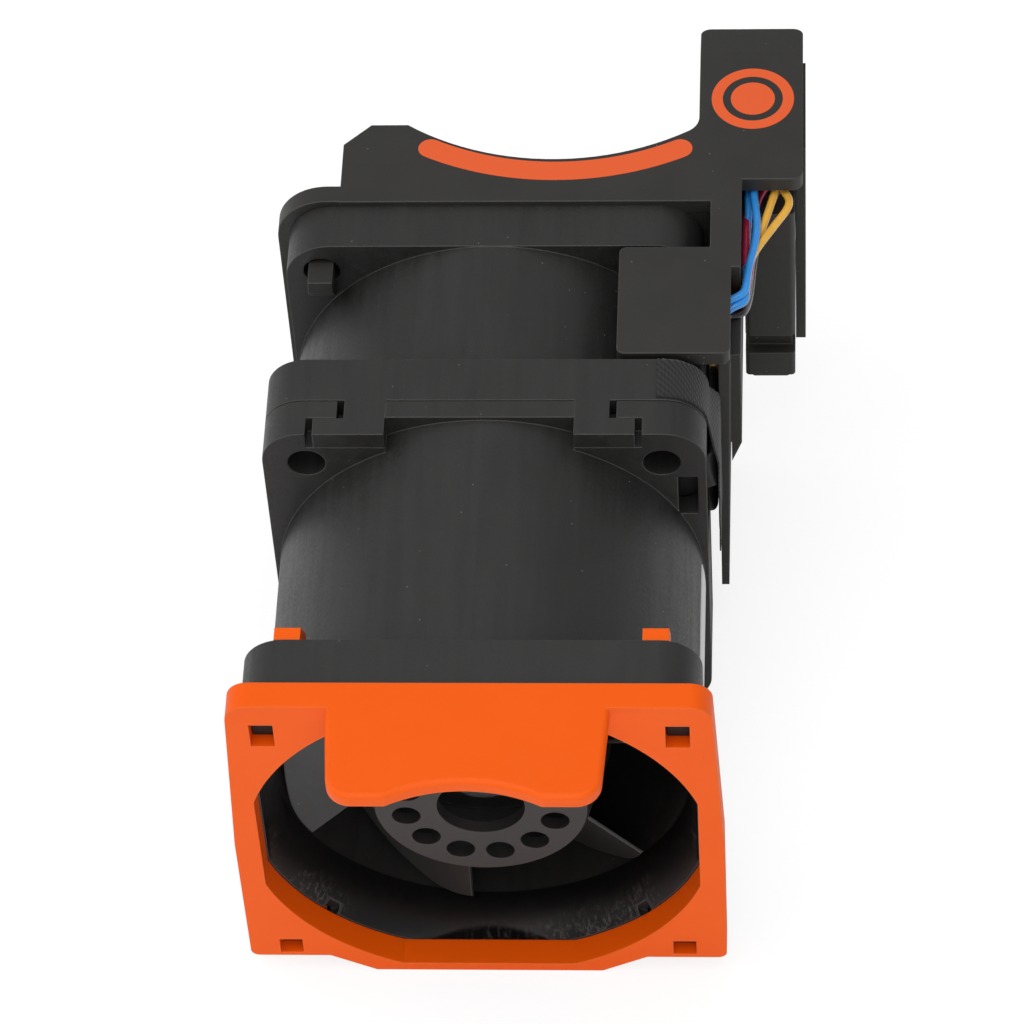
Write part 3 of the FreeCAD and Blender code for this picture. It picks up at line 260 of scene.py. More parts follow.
def woven_tape():
    """Black cloth tape: twill-woven cotton, dull, with slanting ribs of thread."""
    material, tree = new_material("black woven cloth tape")
    mm = add_node(tree, "ShaderNodeSeparateXYZ", {"Vector": millimetres(tree)})
    # u runs along the tape and y across it; the slanting ribs come every 0.7 mm both ways, so they stand
    # 0.5 mm apart, and a thread comes every 0.35 mm
    u = add_node(tree, "ShaderNodeMath", {0: mm.outputs["X"], 1: mm.outputs["Z"]}, operation="SUBTRACT")
    slant = add_node(tree, "ShaderNodeMath", {0: u.outputs["Value"], 1: mm.outputs["Y"]}, operation="ADD")
    rib_turn = add_node(tree, "ShaderNodeMath", {0: slant.outputs["Value"]}, {1: 2 * math.pi / 0.7},
                        operation="MULTIPLY")
    rib = add_node(tree, "ShaderNodeMath", {0: rib_turn.outputs["Value"]}, operation="SINE")
    thread_turn = add_node(tree, "ShaderNodeMath", {0: u.outputs["Value"]}, {1: 2 * math.pi / 0.35},
                           operation="MULTIPLY")
    thread = add_node(tree, "ShaderNodeMath", {0: thread_turn.outputs["Value"]}, operation="SINE")
    weave = add_node(tree, "ShaderNodeMath", {0: thread.outputs["Value"], 2: rib.outputs["Value"]}, {1: 0.5},
                     operation="MULTIPLY_ADD")
    height = add_node(tree, "ShaderNodeMapRange", {"Value": weave.outputs["Value"]},
                      {"From Min": -1.5, "From Max": 1.5})
    # the base colour is darker in the weave's low places and lighter on its ribs: painted shade and light of
    # the weave
    tone = add_node(tree, "ShaderNodeMix", {"Factor": height.outputs["Result"]},
                    {"A": linear("#0B0B0B"), "B": linear("#2C2B2A")}, data_type="RGBA")
    bump = add_node(tree, "ShaderNodeBump", {"Height": height.outputs["Result"]},
                    {"Strength": 0.8, "Distance": 0.00008})
    shader = add_node(tree, "ShaderNodeBsdfPrincipled",
                      {"Base Color": tone.outputs["Result"], "Normal": bump.outputs["Normal"]},
                      {"Roughness": 0.85, "Sheen Weight": 0.12})
    return finish_material(material, shader.outputs["BSDF"])


def pvc_insulation(name, colour, deeper):
    """Extruded PVC insulation: smooth and glossy, with faint draw marks along the lead."""
    material, tree = new_material(name)
    mm = millimetres(tree)
    marks = add_node(tree, "ShaderNodeTexNoise", {"Vector": mm}, {"Scale": 1.4, "Detail": 3.0})
    tone = add_node(tree, "ShaderNodeMix", {"Factor": marks.outputs["Fac"]},
                    {"A": linear(colour), "B": linear(deeper)}, data_type="RGBA")
    bump = add_node(tree, "ShaderNodeBump", {"Height": marks.outputs["Fac"]},
                    {"Strength": 0.1, "Distance": 0.00003})
    shader = add_node(tree, "ShaderNodeBsdfPrincipled",
                      {"Base Color": tone.outputs["Result"], "Normal": bump.outputs["Normal"]},
                      {"Roughness": 0.24, "IOR": 1.53, "Coat Weight": 0.2, "Coat Roughness": 0.12})
    return finish_material(material, shader.outputs["BSDF"])


def plain_finish(name, colour, roughness, metallic=0.0, coat=0.0, grain=6.0):
    """Small inner pieces: one colour with fine wear in its gloss."""
    material, tree = new_material(name)
    mm = millimetres(tree)
    noise = add_node(tree, "ShaderNodeTexNoise", {"Vector": mm}, {"Scale": grain, "Detail": 3.0})
    gloss = add_node(tree, "ShaderNodeMapRange", {"Value": noise.outputs["Fac"]},
                     {"To Min": roughness * 0.8, "To Max": roughness * 1.2})
    bump = add_node(tree, "ShaderNodeBump", {"Height": noise.outputs["Fac"]},
                    {"Strength": 0.08, "Distance": 0.00003})
    shader = add_node(tree, "ShaderNodeBsdfPrincipled",
                      {"Roughness": gloss.outputs["Result"], "Normal": bump.outputs["Normal"]},
                      {"Base Color": linear(colour), "Metallic": metallic, "Coat Weight": coat})
    return finish_material(material, shader.outputs["BSDF"])


def scuffed_and_shaded_bore():
    """Black PBT of the bore: moulded smooth and scuffed by handling, with pale scratches; its near-black base,
    darker than the housings, is painted shade inside the mouth.
    """
    material, tree = new_material("scuffed black PBT")
    mm = millimetres(tree)
    # scratches about 0.4 mm wide and 1.5 mm long, gathered in patches about 8 mm across
    drawn = add_node(tree, "ShaderNodeMapping", {"Vector": mm}, {"Scale": (1.0, 0.25, 1.0)})
    scratch = add_node(tree, "ShaderNodeTexNoise", {"Vector": drawn.outputs["Vector"]},
                       {"Scale": 2.6, "Detail": 8.0, "Roughness": 0.75})
    patch = add_node(tree, "ShaderNodeTexNoise", {"Vector": mm}, {"Scale": 0.12, "Detail": 2.0})
    lines = add_node(tree, "ShaderNodeMapRange", {"Value": scratch.outputs["Fac"]},
                     {"From Min": 0.5, "From Max": 0.68})
    place = add_node(tree, "ShaderNodeMapRange", {"Value": patch.outputs["Fac"]},
                     {"From Min": 0.44, "From Max": 0.62})
    # the scuffs fade in over two millimetres towards the inlet's face
    apart = add_node(tree, "ShaderNodeSeparateXYZ", {"Vector": mm})
    rim = add_node(tree, "ShaderNodeMapRange", {"Value": apart.outputs["Y"]},
                   {"From Min": 0.4, "From Max": -1.6})
    some = add_node(tree, "ShaderNodeMath", {0: lines.outputs["Result"], 1: place.outputs["Result"]},
                    operation="MULTIPLY")
    worn = add_node(tree, "ShaderNodeMath", {0: some.outputs["Value"], 1: rim.outputs["Result"]},
                    operation="MULTIPLY")
    # near-black base: painted shade inside the mouth; the pale scratches are wear
    tone = add_node(tree, "ShaderNodeMix", {"Factor": worn.outputs["Value"]},
                    {"A": linear("#0E0D0D"), "B": linear("#5A5856")}, data_type="RGBA")
    gloss = add_node(tree, "ShaderNodeMapRange", {"Value": scratch.outputs["Fac"]},
                     {"From Min": 0.3, "From Max": 0.7, "To Min": 0.28, "To Max": 0.5})
    bump = add_node(tree, "ShaderNodeBump", {"Height": scratch.outputs["Fac"]},
                    {"Strength": 0.3, "Distance": 0.00005})
    shader = add_node(tree, "ShaderNodeBsdfPrincipled",
                      {"Base Color": tone.outputs["Result"], "Roughness": gloss.outputs["Result"],
                       "Normal": bump.outputs["Normal"]}, {"IOR": 1.5, "Specular IOR Level": 0.3})
    return finish_material(material, shader.outputs["BSDF"])


def module_materials():
    """Every material by a short name, made once."""
    store = module_materials.store
    if not store:
        colours = bpy.context.scene.fan_colours
        sizes = bpy.context.scene.fan_sizes
        store["orange"] = moulded_abs(colours, sizes)
        store["housing"] = glass_filled_plastic("black glass-filled PBT", colours.black, "#2B2A29",
                                                sizes.housing_edge, 0.36, 0.62, 0.3, 0.75)
        store["bracket"] = glass_filled_plastic("black moulded nylon", colours.bracket, "#2B2A28",
                                                sizes.bracket_edge, 0.46, 0.62, 0.22, 0.2)
        store["blade"] = glass_filled_plastic("moulded PBT impeller", colours.blade, "#2E2E2D",
                                              sizes.housing_edge, 0.36, 0.5, 0.12, 0.3)
        store["bore"] = scuffed_and_shaded_bore()
        # near-black finish of the blocks in the bezel's windows: painted shade
        store["stop"] = plain_finish("matt moulded PBT", "#0C0B0B", 0.6)
        store["print"] = plain_finish("pad-printed ink", colours.print_orange, 0.5)
        store["steel"] = plain_finish("ground steel", "#B9BABC", 0.28, metallic=1.0)
        store["zinc"] = plain_finish("zinc-plated steel", "#A4A8AC", 0.38, metallic=1.0)
        store["ferrite"] = plain_finish("bonded ferrite", "#2B2A29", 0.6)
        store["laminate"] = plain_finish("coated electrical steel", "#5A5E66", 0.5, metallic=1.0)
        store["nylon"] = plain_finish("natural nylon", "#D8D2C0", 0.45)
        store["copper"] = plain_finish("enamelled copper wire", "#B0602F", 0.35, metallic=1.0)
        store["board"] = plain_finish("solder-masked laminate", "#1F5A32", 0.35, coat=0.3)
        store["contact"] = plain_finish("plated brass", "#D6B870", 0.3, metallic=1.0)
        store["label"] = plain_finish("polyester film label", "#DADBDC", 0.35)
        store["tape"] = woven_tape()
        store["blue"] = pvc_insulation("blue PVC insulation", colours.blue, "#2684D6")
        store["yellow"] = pvc_insulation("yellow PVC insulation", colours.yellow, "#DDA236")
        store["red"] = pvc_insulation("red PVC insulation", colours.red, "#8E1635")
        store["sleeve"] = plain_finish("black heat-shrunk polyolefin", "#161616", 0.5, grain=2.0)
        store["dark"] = pvc_insulation("black PVC insulation", colours.dark, "#101012")
    return store


module_materials.store = {}


# ---------------------------------------------------------------- leads
# lengths in millimetres; a pair is for the front and the rear fan
LEAD_SIDE_X = 20.425         # where the leads run beside the fans
LEAD_ANGLE = (30.0, 12.0)    # degrees, the struts that carry the leads
LEAD_LEVEL = (28.0, 31.0)    # along the axis, where the leads leave each motor
LEAD_PITCH = 0.85            # between the middles of two leads, square to the strut
LEAD_END_Z = 31.7            # low end of every lead
SLEEVE_LENGTH = (10.9, 9.2)  # of the stretch beside the fans


def crossing_routes():
    """Each lead's way through the gate and on to the connector, in millimetres."""
    # (colour, fan, lane): points from the gate to above the connector housing
    return {
        ("blue", 0, 0): [(21.4, 42.1, 37.2), (22.3, 42.7, 37.5), (22.95, 43.0, 37.5),
            (23.38, 43.5, 37.5), (23.42, 44.6, 37.45), (23.4, 46.5, 37.2), (23.38, 48.5, 36.6),
            (23.4, 51.0, 36.2), (23.5, 53.2, 36.5), (23.6, 55.2, 37.0), (23.5, 57.0, 37.0),
            (23.7, 60.5, 37.0), (24.5, 65.2, 36.6)],
        ("blue", 0, 1): [(21.2, 42.6, 37.6), (21.8, 42.95, 38.0), (22.4, 43.3, 38.0),
            (22.95, 43.6, 38.05), (23.38, 44.15, 38.05), (23.48, 45.2, 38.05), (23.57, 46.5, 38.0),
            (23.82, 48.0, 38.0), (24.16, 49.6, 38.0), (24.36, 51.4, 37.95), (24.36, 53.4, 37.9),
            (24.1, 55.5, 37.85), (23.95, 58.0, 37.65), (24.1, 62.0, 37.6), (24.5, 66.8, 37.3)],
        ("yellow", 0, 2): [(21.3, 43.8, 36.5), (22.2, 44.27, 36.8), (22.85, 44.57, 36.83),
            (23.33, 45.1, 36.83), (23.4, 46.2, 36.83), (23.5, 47.5, 36.8), (23.78, 48.9, 36.8),
            (24.2, 50.6, 36.9), (24.75, 52.2, 37.1), (25.25, 53.9, 37.3), (25.7, 55.6, 37.45),
            (26.15, 57.4, 37.45), (26.3, 60.0, 37.3), (26.4, 64.2, 37.0)],
        ("yellow", 0, 3): [(21.3, 43.2, 37.1), (22.3, 43.8, 37.4), (22.9, 44.1, 37.44),
            (23.33, 44.63, 37.44), (23.43, 45.7, 37.44), (23.52, 47.0, 37.4), (23.75, 48.4, 37.4),
            (24.35, 49.9, 37.35), (25.4, 51.7, 37.4), (26.5, 53.5, 37.5), (27.2, 54.6, 37.6),
            (27.42, 55.6, 37.6), (27.1, 56.5, 37.5), (26.6, 57.4, 37.2), (26.5, 61.5, 36.9),
            (26.4, 66.6, 36.8)],
        ("red", 1, 0): [(21.4, 44.4, 36.1), (22.2, 44.75, 36.2), (22.85, 45.02, 36.2),
            (23.3, 45.5, 36.22), (23.34, 46.6, 36.25), (23.33, 47.8, 36.6), (23.33, 49.4, 37.0),
            (23.36, 51.4, 37.0), (23.38, 53.4, 36.9), (23.4, 55.0, 36.2), (23.7, 57.4, 36.0),
            (24.5, 59.8, 36.0)],
        ("dark", 1, 1): [(21.4, 43.4, 36.1), (22.3, 43.7, 36.15), (23.1, 44.0, 36.1), (23.5, 45.4, 35.6),
            (23.7, 48.0, 35.1), (23.9, 52.0, 34.95), (24.2, 56.0, 35.1), (24.5, 62.2, 35.0)],
        ("dark", 1, 2): [(21.4, 42.6, 36.1), (22.3, 42.8, 36.13), (23.1, 43.2, 35.9),
            (23.45, 44.5, 35.2), (23.75, 47.0, 34.3), (23.9, 50.0, 34.1), (24.2, 53.0, 34.1),
            (25.0, 56.0, 34.4), (26.1, 58.6, 34.8), (26.4, 60.0, 34.8)],
        ("red", 1, 3): [(21.4, 42.9, 36.6), (22.3, 43.3, 36.85), (22.95, 43.55, 36.85),
            (23.35, 44.1, 36.85), (23.42, 45.3, 36.6), (23.6, 47.2, 36.05), (23.9, 50.0, 35.9),
            (24.2, 52.0, 35.9), (24.2, 54.0, 35.9), (24.1, 56.0, 35.9), (24.6, 58.2, 35.7),
            (25.8, 60.4, 35.5), (26.4, 62.4, 35.3)],
    }


def lead_height(fan, lane):
    """Height in millimetres of a lead beside the fans."""
    angle = math.radians(LEAD_ANGLE[fan])
    return AXIS_Z / MM + LEAD_SIDE_X * math.tan(angle) - (1.5 - lane) * LEAD_PITCH / math.cos(angle)


def lead_climb_points(fan, lane):
    """Where a lead leaves its sleeve beside the fans and turns up to the gate, in millimetres."""
    z = lead_height(fan, lane)
    climb = (38.9 + 0.3 * (3 - lane), 40.6 + 0.5 * (3 - lane))[fan]
    return [Vector((LEAD_SIDE_X, LEAD_LEVEL[fan] + 2.0, z)), Vector((LEAD_SIDE_X, climb - 0.8, z)),
            Vector((LEAD_SIDE_X, climb, z)), Vector((LEAD_SIDE_X + 0.1, climb + 1.1, z + 2.0))]


def make_lead(colour, fan, lane, route, radius):
    """One lead as a smooth round tube, from inside its sleeve down into the connector housing."""
    rise = Vector(route[0])
    last = Vector(route[-1])
    points = lead_climb_points(fan, lane) + [rise - Vector((0.6, 0.4, 1.2))] + [Vector(p) for p in route]
    points += [Vector((last.x, last.y + 0.3, last.z - 1.2)), Vector((last.x, last.y + 0.3, LEAD_END_Z))]
    curve = bpy.data.curves.new(f"{colour}_lead_{fan}{lane}", "CURVE")
    curve.dimensions = "3D"
    curve.bevel_depth = radius
    curve.bevel_resolution = 5
    curve.resolution_u = 8
    curve.use_fill_caps = True
    spline = curve.splines.new("NURBS")
    spline.points.add(len(points) - 1)
    for spot, place in zip(spline.points, points):
        spot.co = (*(place * MM), 1.0)
    spline.order_u = 4
    spline.use_endpoint_u = True
    return curve


def make_sleeve(fan):
    """Flat heat-shrunk sleeve round one fan's four leads, from its motor to where they climb."""
    name = f"{('front', 'rear')[fan]}_lead_sleeve"
    angle = math.radians(LEAD_ANGLE[fan])
    level = LEAD_LEVEL[fan]
    length = SLEEVE_LENGTH[fan]
    inner_x = 9.5
    bend = 0.55
    half_thickness = 0.44
    half_width = 1.78
    half_width_upright = half_width / math.cos(angle)
    along = Vector((math.cos(angle), 0, math.sin(angle)))
    start = Vector((inner_x, level, AXIS_Z / MM + inner_x * math.tan(angle)))
    corner = Vector((LEAD_SIDE_X, level, AXIS_Z / MM + LEAD_SIDE_X * math.tan(angle)))
    slope = Vector((-math.sin(angle), 0, math.cos(angle)))
    # each step: place, way across the four leads, half width across them, way of the thickness
    steps = [(start, slope, half_width, Vector((0, 1, 0)))]
    turns = 8
    for k in range(turns + 1):
        turn = math.pi / 2 * k / turns
        place = corner - along * bend * (1 - math.sin(turn)) + Vector((0, bend * (1 - math.cos(turn)), 0))
        across = slope.lerp(Vector((0, 0, 1)), k / turns).normalized()
        thin = (Vector((0, 1, 0)) * math.cos(turn) - Vector((1, 0, 0)) * math.sin(turn)).normalized()
        half = half_width + (half_width_upright - half_width) * k / turns
        steps.append((place, across, half, thin))
    stretch = 12
    for k in range(1, stretch + 1):
        sag = 0.05 * math.sin(k * 1.7)
        place = corner + Vector((0, bend + (length - bend) * k / stretch, sag))
        steps.append((place, Vector((0, 0, 1)), half_width_upright, Vector((-1, 0, 0))))
    mesh = bpy.data.meshes.new(name)
    made = bmesh.new()
    rings = []
    count = 32
    for place, across, half, thin in steps:
        ring = []
        for k in range(count):
            turn = 2 * math.pi * k / count
            # flat oval with full ends
            u = math.copysign(abs(math.cos(turn)) ** 0.6, math.cos(turn)) * half
            v = math.copysign(abs(math.sin(turn)) ** 0.6, math.sin(turn)) * half_thickness
            ring.append(made.verts.new((place + across * u + thin * v) * MM))
        rings.append(ring)
    for low, high in zip(rings, rings[1:]):
        for k in range(count):
            n = (k + 1) % count
            made.faces.new((low[k], low[n], high[n], high[k]))
    made.faces.new(list(reversed(rings[0])))
    made.faces.new(rings[-1])
    bmesh.ops.recalc_face_normals(made, faces=made.faces)
    for face in made.faces:
        face.smooth = len(face.verts) == 4
    made.to_mesh(mesh)
    made.free()
    return name, mesh


def make_tape_mesh():
    """Cloth tape: from the top of the seam flange, round its corner and down over the leads, widening."""
    half = FRONT_HIGH.x / MM
    top = REAR_HIGH.z / MM
    corner = 3.8
    reach = 4.5
    low_end = 20.9
    front_edge = SEAM_Y / MM + 0.3
    back_edge = SEAM_Y / MM + 4.7
    front_spread, back_spread = 2.5, 0.85
    lead_x = LEAD_SIDE_X + 0.375 + 0.14
    # (x, z, outward x, outward z, front edge, back edge) along the tape
    stations = []
    for k in range(6):
        x = half - reach + (reach - corner) * k / 5
        stations.append((x, top, 0.0, 1.0, front_edge, back_edge))
    for k in range(1, 13):
        turn = math.pi / 2 * k / 12
        stations.append((half - corner + corner * math.sin(turn), top - corner + corner * math.cos(turn),
                         math.sin(turn), math.cos(turn), front_edge, back_edge))
    for k in range(1, 25):
        share = k / 24
        z = top - corner - (top - corner - low_end) * share
        out = half + (lead_x - half) * min(1.0, share * 7.0)
        spread = min(1.0, share * 9.0)
        stations.append((out, z, 1.0, 0.0, front_edge - front_spread * spread,
                         back_edge + back_spread * spread))
    mesh = bpy.data.meshes.new("cloth_tape_strip")
    made = bmesh.new()
    across = 14
    sheets = []
    # under side and upper side, in millimetres over the flange
    for lift in (0.03, 0.17):
        sheet = []
        for i, (x, z, nx, nz, front, back) in enumerate(stations):
            row = []
            for j in range(across + 1):
                v = j / across
                edge = 0.035 * math.sin(i * 1.9) * (abs(v - 0.5) * 2) ** 4
                ripple = 0.03 * math.sin(i * 0.9 + j * 0.7) * (1 if i > 20 else 0.3)
                out = lift + max(0.0, ripple)
                row.append(made.verts.new(((x + nx * out) * MM, (front + (back - front) * v + edge) * MM,
                                           (z + nz * out) * MM)))
            sheet.append(row)
        sheets.append(sheet)
    rows = len(stations)
    for i in range(rows - 1):
        for j in range(across):
            for sheet, way in zip(sheets, (1, -1)):
                corners = [sheet[i][j], sheet[i][j + 1], sheet[i + 1][j + 1], sheet[i + 1][j]]
                made.faces.new(corners if way > 0 else list(reversed(corners)))
        for j in (0, across):
            made.faces.new([sheets[0][i][j], sheets[0][i + 1][j], sheets[1][i + 1][j], sheets[1][i][j]])
    for i in (0, rows - 1):
        for j in range(across):
            made.faces.new([sheets[0][i][j], sheets[0][i][j + 1], sheets[1][i][j + 1], sheets[1][i][j]])
    bmesh.ops.recalc_face_normals(made, faces=made.faces)
    for face in made.faces:
        face.smooth = True
    made.to_mesh(mesh)
    made.free()
    return mesh


# ---------------------------------------------------------------- inlet bellmouth
def bellmouth_mesh():
    """Skin of the inlet's flared mouth: a smooth arc clipped by four flats, open at the four reliefs."""
    mesh = bpy.data.meshes.new("inlet_bellmouth")
    made = bmesh.new()
    depth, flare, duct = 5.0, 1.7, 18.6
    flat = 19.32
    skin = 0.035
    levels, around = 20, 360
    relief_level, relief_middle, relief_half = 16, 44.5, 2.6
    bend = (depth ** 2 + flare ** 2) / (2 * flare)
    sweep = math.asin(depth / bend)
    rows = []
    for k in range(levels + 1):
        angle = sweep * k / levels
        y = FRONT_LOW.y / MM + depth - bend * math.sin(angle) + (0.02 if k == levels else 0.0)
        radius = duct + bend * (1 - math.cos(angle)) - skin
        row = []
        for step in range(around):
            turn = math.radians(step)
            x = max(-flat, min(flat, radius * math.cos(turn)))
            z = max(-flat, min(flat, radius * math.sin(turn)))
            row.append(made.verts.new((x * MM, y * MM, AXIS_Z + z * MM)))
        rows.append(row)
    for k in range(levels):
        for step in range(around):
            if k >= relief_level and abs(step % 90 - relief_middle) < relief_half:
                continue
            after = (step + 1) % around
            made.faces.new((rows[k][step], rows[k + 1][step], rows[k + 1][after], rows[k][after]))
    for face in made.faces:
        face.smooth = True
    made.to_mesh(mesh)
    made.free()
    return mesh


# ---------------------------------------------------------------- windows of the bezel
# centre, width and height of each window, in millimetres
WINDOWS = ((-17.95, 36.3, 2.1, 3.1), (17.95, 36.3, 2.1, 3.1), (-17.95, 3.8, 2.1, 2.1), (17.95, 3.8, 2.1, 2.1))


def stop_mesh(name, x, z, width, height):
    """Near-black block in a window, back from the bezel's face, edges broken: painted shade standing for the
    dark depths behind the window; its form is a guess.
    """
    mesh = bpy.data.meshes.new(name)
    made = bmesh.new()
    inset, play, edge = 1.2 * MM, 0.06, 0.12 * MM
    front = BEZEL_FACE_Y + inset
    back = FRONT_LOW.y
    size = ((width - play) * MM, back - front, (height - play) * MM)
    place = Vector((x * MM, (front + back) / 2, z * MM))
    bmesh.ops.create_cube(made, size=1.0, matrix=Matrix.Translation(place) @ Matrix.Diagonal((*size, 1.0)))
    bmesh.ops.bevel(made, geom=list(made.edges), offset=edge, segments=2, affect="EDGES")
    made.to_mesh(mesh)
    made.free()
    return mesh


# ---------------------------------------------------------------- prints
# in millimetres and degrees; the angles are measured from straight down
ARC_MIDDLE, ARC_RADIUS, ARC_ENDS = (5.6, 82.7), 25.4, (-27.7, 27.1)
TARGET_MIDDLE, RING_OUTSIDE, RING_INSIDE, DOT_RADIUS = (23.9, 66.4), 3.87, 2.82, 2.07
PRINT_LIFT = 0.002


def sliver(name, outlines, z, thickness=0.012 * MM):
    """Thin closed sheets between an outer and an inner outline, or inside one outline, on height z."""
    mesh = bpy.data.meshes.new(name)
    made = bmesh.new()
    for outer, inner in outlines:
        rings = []
        for level in (z, z + thickness):
            rings.append([[made.verts.new((x, y, level)) for x, y in line]
                          for line in (outer, inner) if line])
        count = len(outer)
        for k in range(count):
            n = (k + 1) % count
            low, high = rings
            made.faces.new((low[0][k], low[0][n], high[0][n], high[0][k]))
            if inner:
                made.faces.new((high[0][k], high[0][n], high[1][n], high[1][k]))
                made.faces.new((low[1][n], low[1][k], high[1][k], high[1][n]))
                made.faces.new((low[0][n], low[0][k], low[1][k], low[1][n]))
        if not inner:
            made.faces.new(rings[1][0])
            made.faces.new(list(reversed(rings[0][0])))
    made.to_mesh(mesh)
    made.free()
    return mesh


def round_outline(x, y, radius, count=96):
    """Points of a circle."""
    return [(x + radius * math.cos(2 * math.pi * k / count), y + radius * math.sin(2 * math.pi * k / count))
            for k in range(count)]


def arc_band(x, y, radius, width, start, end, steps=64):
    """Outline of a band along an arc, with round ends; angles are measured from straight down."""
    points = []
    half = width / 2
    for k in range(steps + 1):
        angle = start + (end - start) * k / steps
        points.append((x + (radius + half) * math.sin(angle), y - (radius + half) * math.cos(angle)))
    for tip, way in ((end, 1), (start, -1)):
        cx = x + radius * math.sin(tip)
        cy = y - radius * math.cos(tip)
        for k in range(1, 12):
            turn = math.pi * k / 12
            out = half * math.cos(turn)
            on = half * math.sin(turn) * way
            if way < 0:
                out = -out
            points.append((cx + out * math.sin(tip) + on * math.cos(tip),
                           cy - out * math.cos(tip) + on * math.sin(tip)))
        if way > 0:
            for k in range(steps, -1, -1):
                angle = start + (end - start) * k / steps
                points.append((x + (radius - half) * math.sin(angle), y - (radius - half) * math.cos(angle)))
    return points


# ---------------------------------------------------------------- operators
class FANMODULE_OT_housings(bpy.types.Operator):
    """Dress both fan housings and the bracket"""

    bl_idname = "fanmodule.housings"
    bl_label = "Housings"

    def execute(self, context):
        look = module_materials()
        dress("front_fan_housing", look["housing"])
        dress("rear_fan_housing", look["housing"])
        dress("rear_bracket", look["bracket"])
        new_piece("inlet_bellmouth", bellmouth_mesh(), "module", look["bore"])
        return {"FINISHED"}


class FANMODULE_OT_bezel(bpy.types.Operator):
    """Dress the inlet bezel and put a near-black block of painted shade into each of its four windows"""

    bl_idname = "fanmodule.bezel"
    bl_label = "Bezel"

    def execute(self, context):
        look = module_materials()
        dress("front_bezel", look["orange"])
        for k, (x, z, width, height) in enumerate(WINDOWS):
            mesh = stop_mesh(f"window_stop_{k}", x, z, width, height)
            new_piece(f"window_stop_{k}", mesh, "module", look["stop"])
        return {"FINISHED"}


class FANMODULE_OT_motors(bpy.types.Operator):
    """Dress both rotors and the stators inside them"""

    bl_idname = "fanmodule.motors"
    bl_label = "Motors"

    def execute(self, context):
        look = module_materials()
        finishes = {"impeller": "blade", "rotor_cup": "zinc", "magnet_ring": "ferrite", "shaft": "steel",
                    "retaining_clip": "steel", "spring_washer": "steel", "bearings": "steel",
                    "stator_core": "laminate", "stator_insulators": "nylon", "stator_coils": "copper",
                    "circuit_board": "board"}
        for fan in ("front", "rear"):
            for part, finish in finishes.items():
                dress(f"{fan}_{part}", look[finish])
        return {"FINISHED"}


class FANMODULE_OT_wiring(bpy.types.Operator):
    """Dress the connector, its contacts, the leads, the tape and the label"""

    bl_idname = "fanmodule.wiring"
    bl_label = "Wiring"

    def execute(self, context):
        look = module_materials()
        dress("connector_housing", look["bracket"])
        dress("connector_contacts", look["contact"])
        radius = context.scene.fan_sizes.lead_radius
        nodes = {"blue": "blue_leads", "yellow": "yellow_leads", "red": "red_leads", "dark": "black_leads"}
        for (colour, fan, lane), route in crossing_routes().items():
            curve = make_lead(colour, fan, lane, route, radius)
            lead = new_piece(f"{colour}_lead_{fan}{lane}", curve, "module", look[colour])
            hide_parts(nodes[colour])
        for fan in (0, 1):
            name, mesh = make_sleeve(fan)
            new_piece(name, mesh, "module", look["sleeve"])
        tape = new_piece("cloth_tape_strip", make_tape_mesh(), "module", look["tape"])
        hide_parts("cloth_tape")
        dress("side_label", look["label"])
        return {"FINISHED"}


class FANMODULE_OT_prints(bpy.types.Operator):
    """Print the touch points on the bracket's deck: an arc along the finger scoop, and a ring with a dot"""

    bl_idname = "fanmodule.prints"
    bl_label = "Prints"

    def execute(self, context):
        look = module_materials()
        z = DECK_TOP + PRINT_LIFT * MM
        x, y = (place * MM for place in ARC_MIDDLE)
        start, end = (math.radians(angle) for angle in ARC_ENDS)
        arc = arc_band(x, y, ARC_RADIUS * MM, context.scene.fan_sizes.print_width, start, end)
        arc_mesh = sliver("printed_arc", [(arc, None)], z)
        new_piece("printed_arc", arc_mesh, "module", look["print"])
        x, y = (place * MM for place in TARGET_MIDDLE)
        rings = [(round_outline(x, y, RING_OUTSIDE * MM), round_outline(x, y, RING_INSIDE * MM)),
                 (round_outline(x, y, DOT_RADIUS * MM), None)]
        target_mesh = sliver("printed_target", rings, z)
        new_piece("printed_target", target_mesh, "module", look["print"])
        return {"FINISHED"}


class FANMODULE_OT_stage(bpy.types.Operator):
    """Make the floor, the lights and the camera"""

    bl_idname = "fanmodule.stage"
    bl_label = "Stage"

    def execute(self, context):
        make_floor()
        make_world()
        make_lights()
        make_camera(context.scene.fan_stage)
        context.scene.view_settings.view_transform = "Standard"
        return {"FINISHED"}


def make_floor():
    """Plain pale floor that keeps the module's shadow."""
    mesh = bpy.data.meshes.new("floor")
    floor = bpy.data.objects.new("floor", mesh)
    bpy.context.collection.objects.link(floor)
    side = 3.0
    corners = [(-side, -side, 0), (side, -side, 0), (side, side, 0), (-side, side, 0)]
    mesh.from_pydata(corners, [], [(0, 1, 2, 3)])
    material, tree = new_material("white paper floor")
    rays = add_node(tree, "ShaderNodeLightPath")
    share = add_node(tree, "ShaderNodeMath", {0: rays.outputs["Is Camera Ray"]}, {1: 0.74},
                     operation="MULTIPLY")
    paper = add_node(tree, "ShaderNodeBsdfDiffuse", values={"Color": (0.95, 0.95, 0.95, 1)})
    white = add_node(tree, "ShaderNodeEmission", values={"Color": (1, 1, 1, 1), "Strength": 1.1})
    shader = add_node(tree, "ShaderNodeMixShader", {0: share.outputs["Value"], 1: paper.outputs["BSDF"],
                                                    2: white.outputs["Emission"]})
    mesh.materials.append(finish_material(material, shader.outputs["Shader"]))


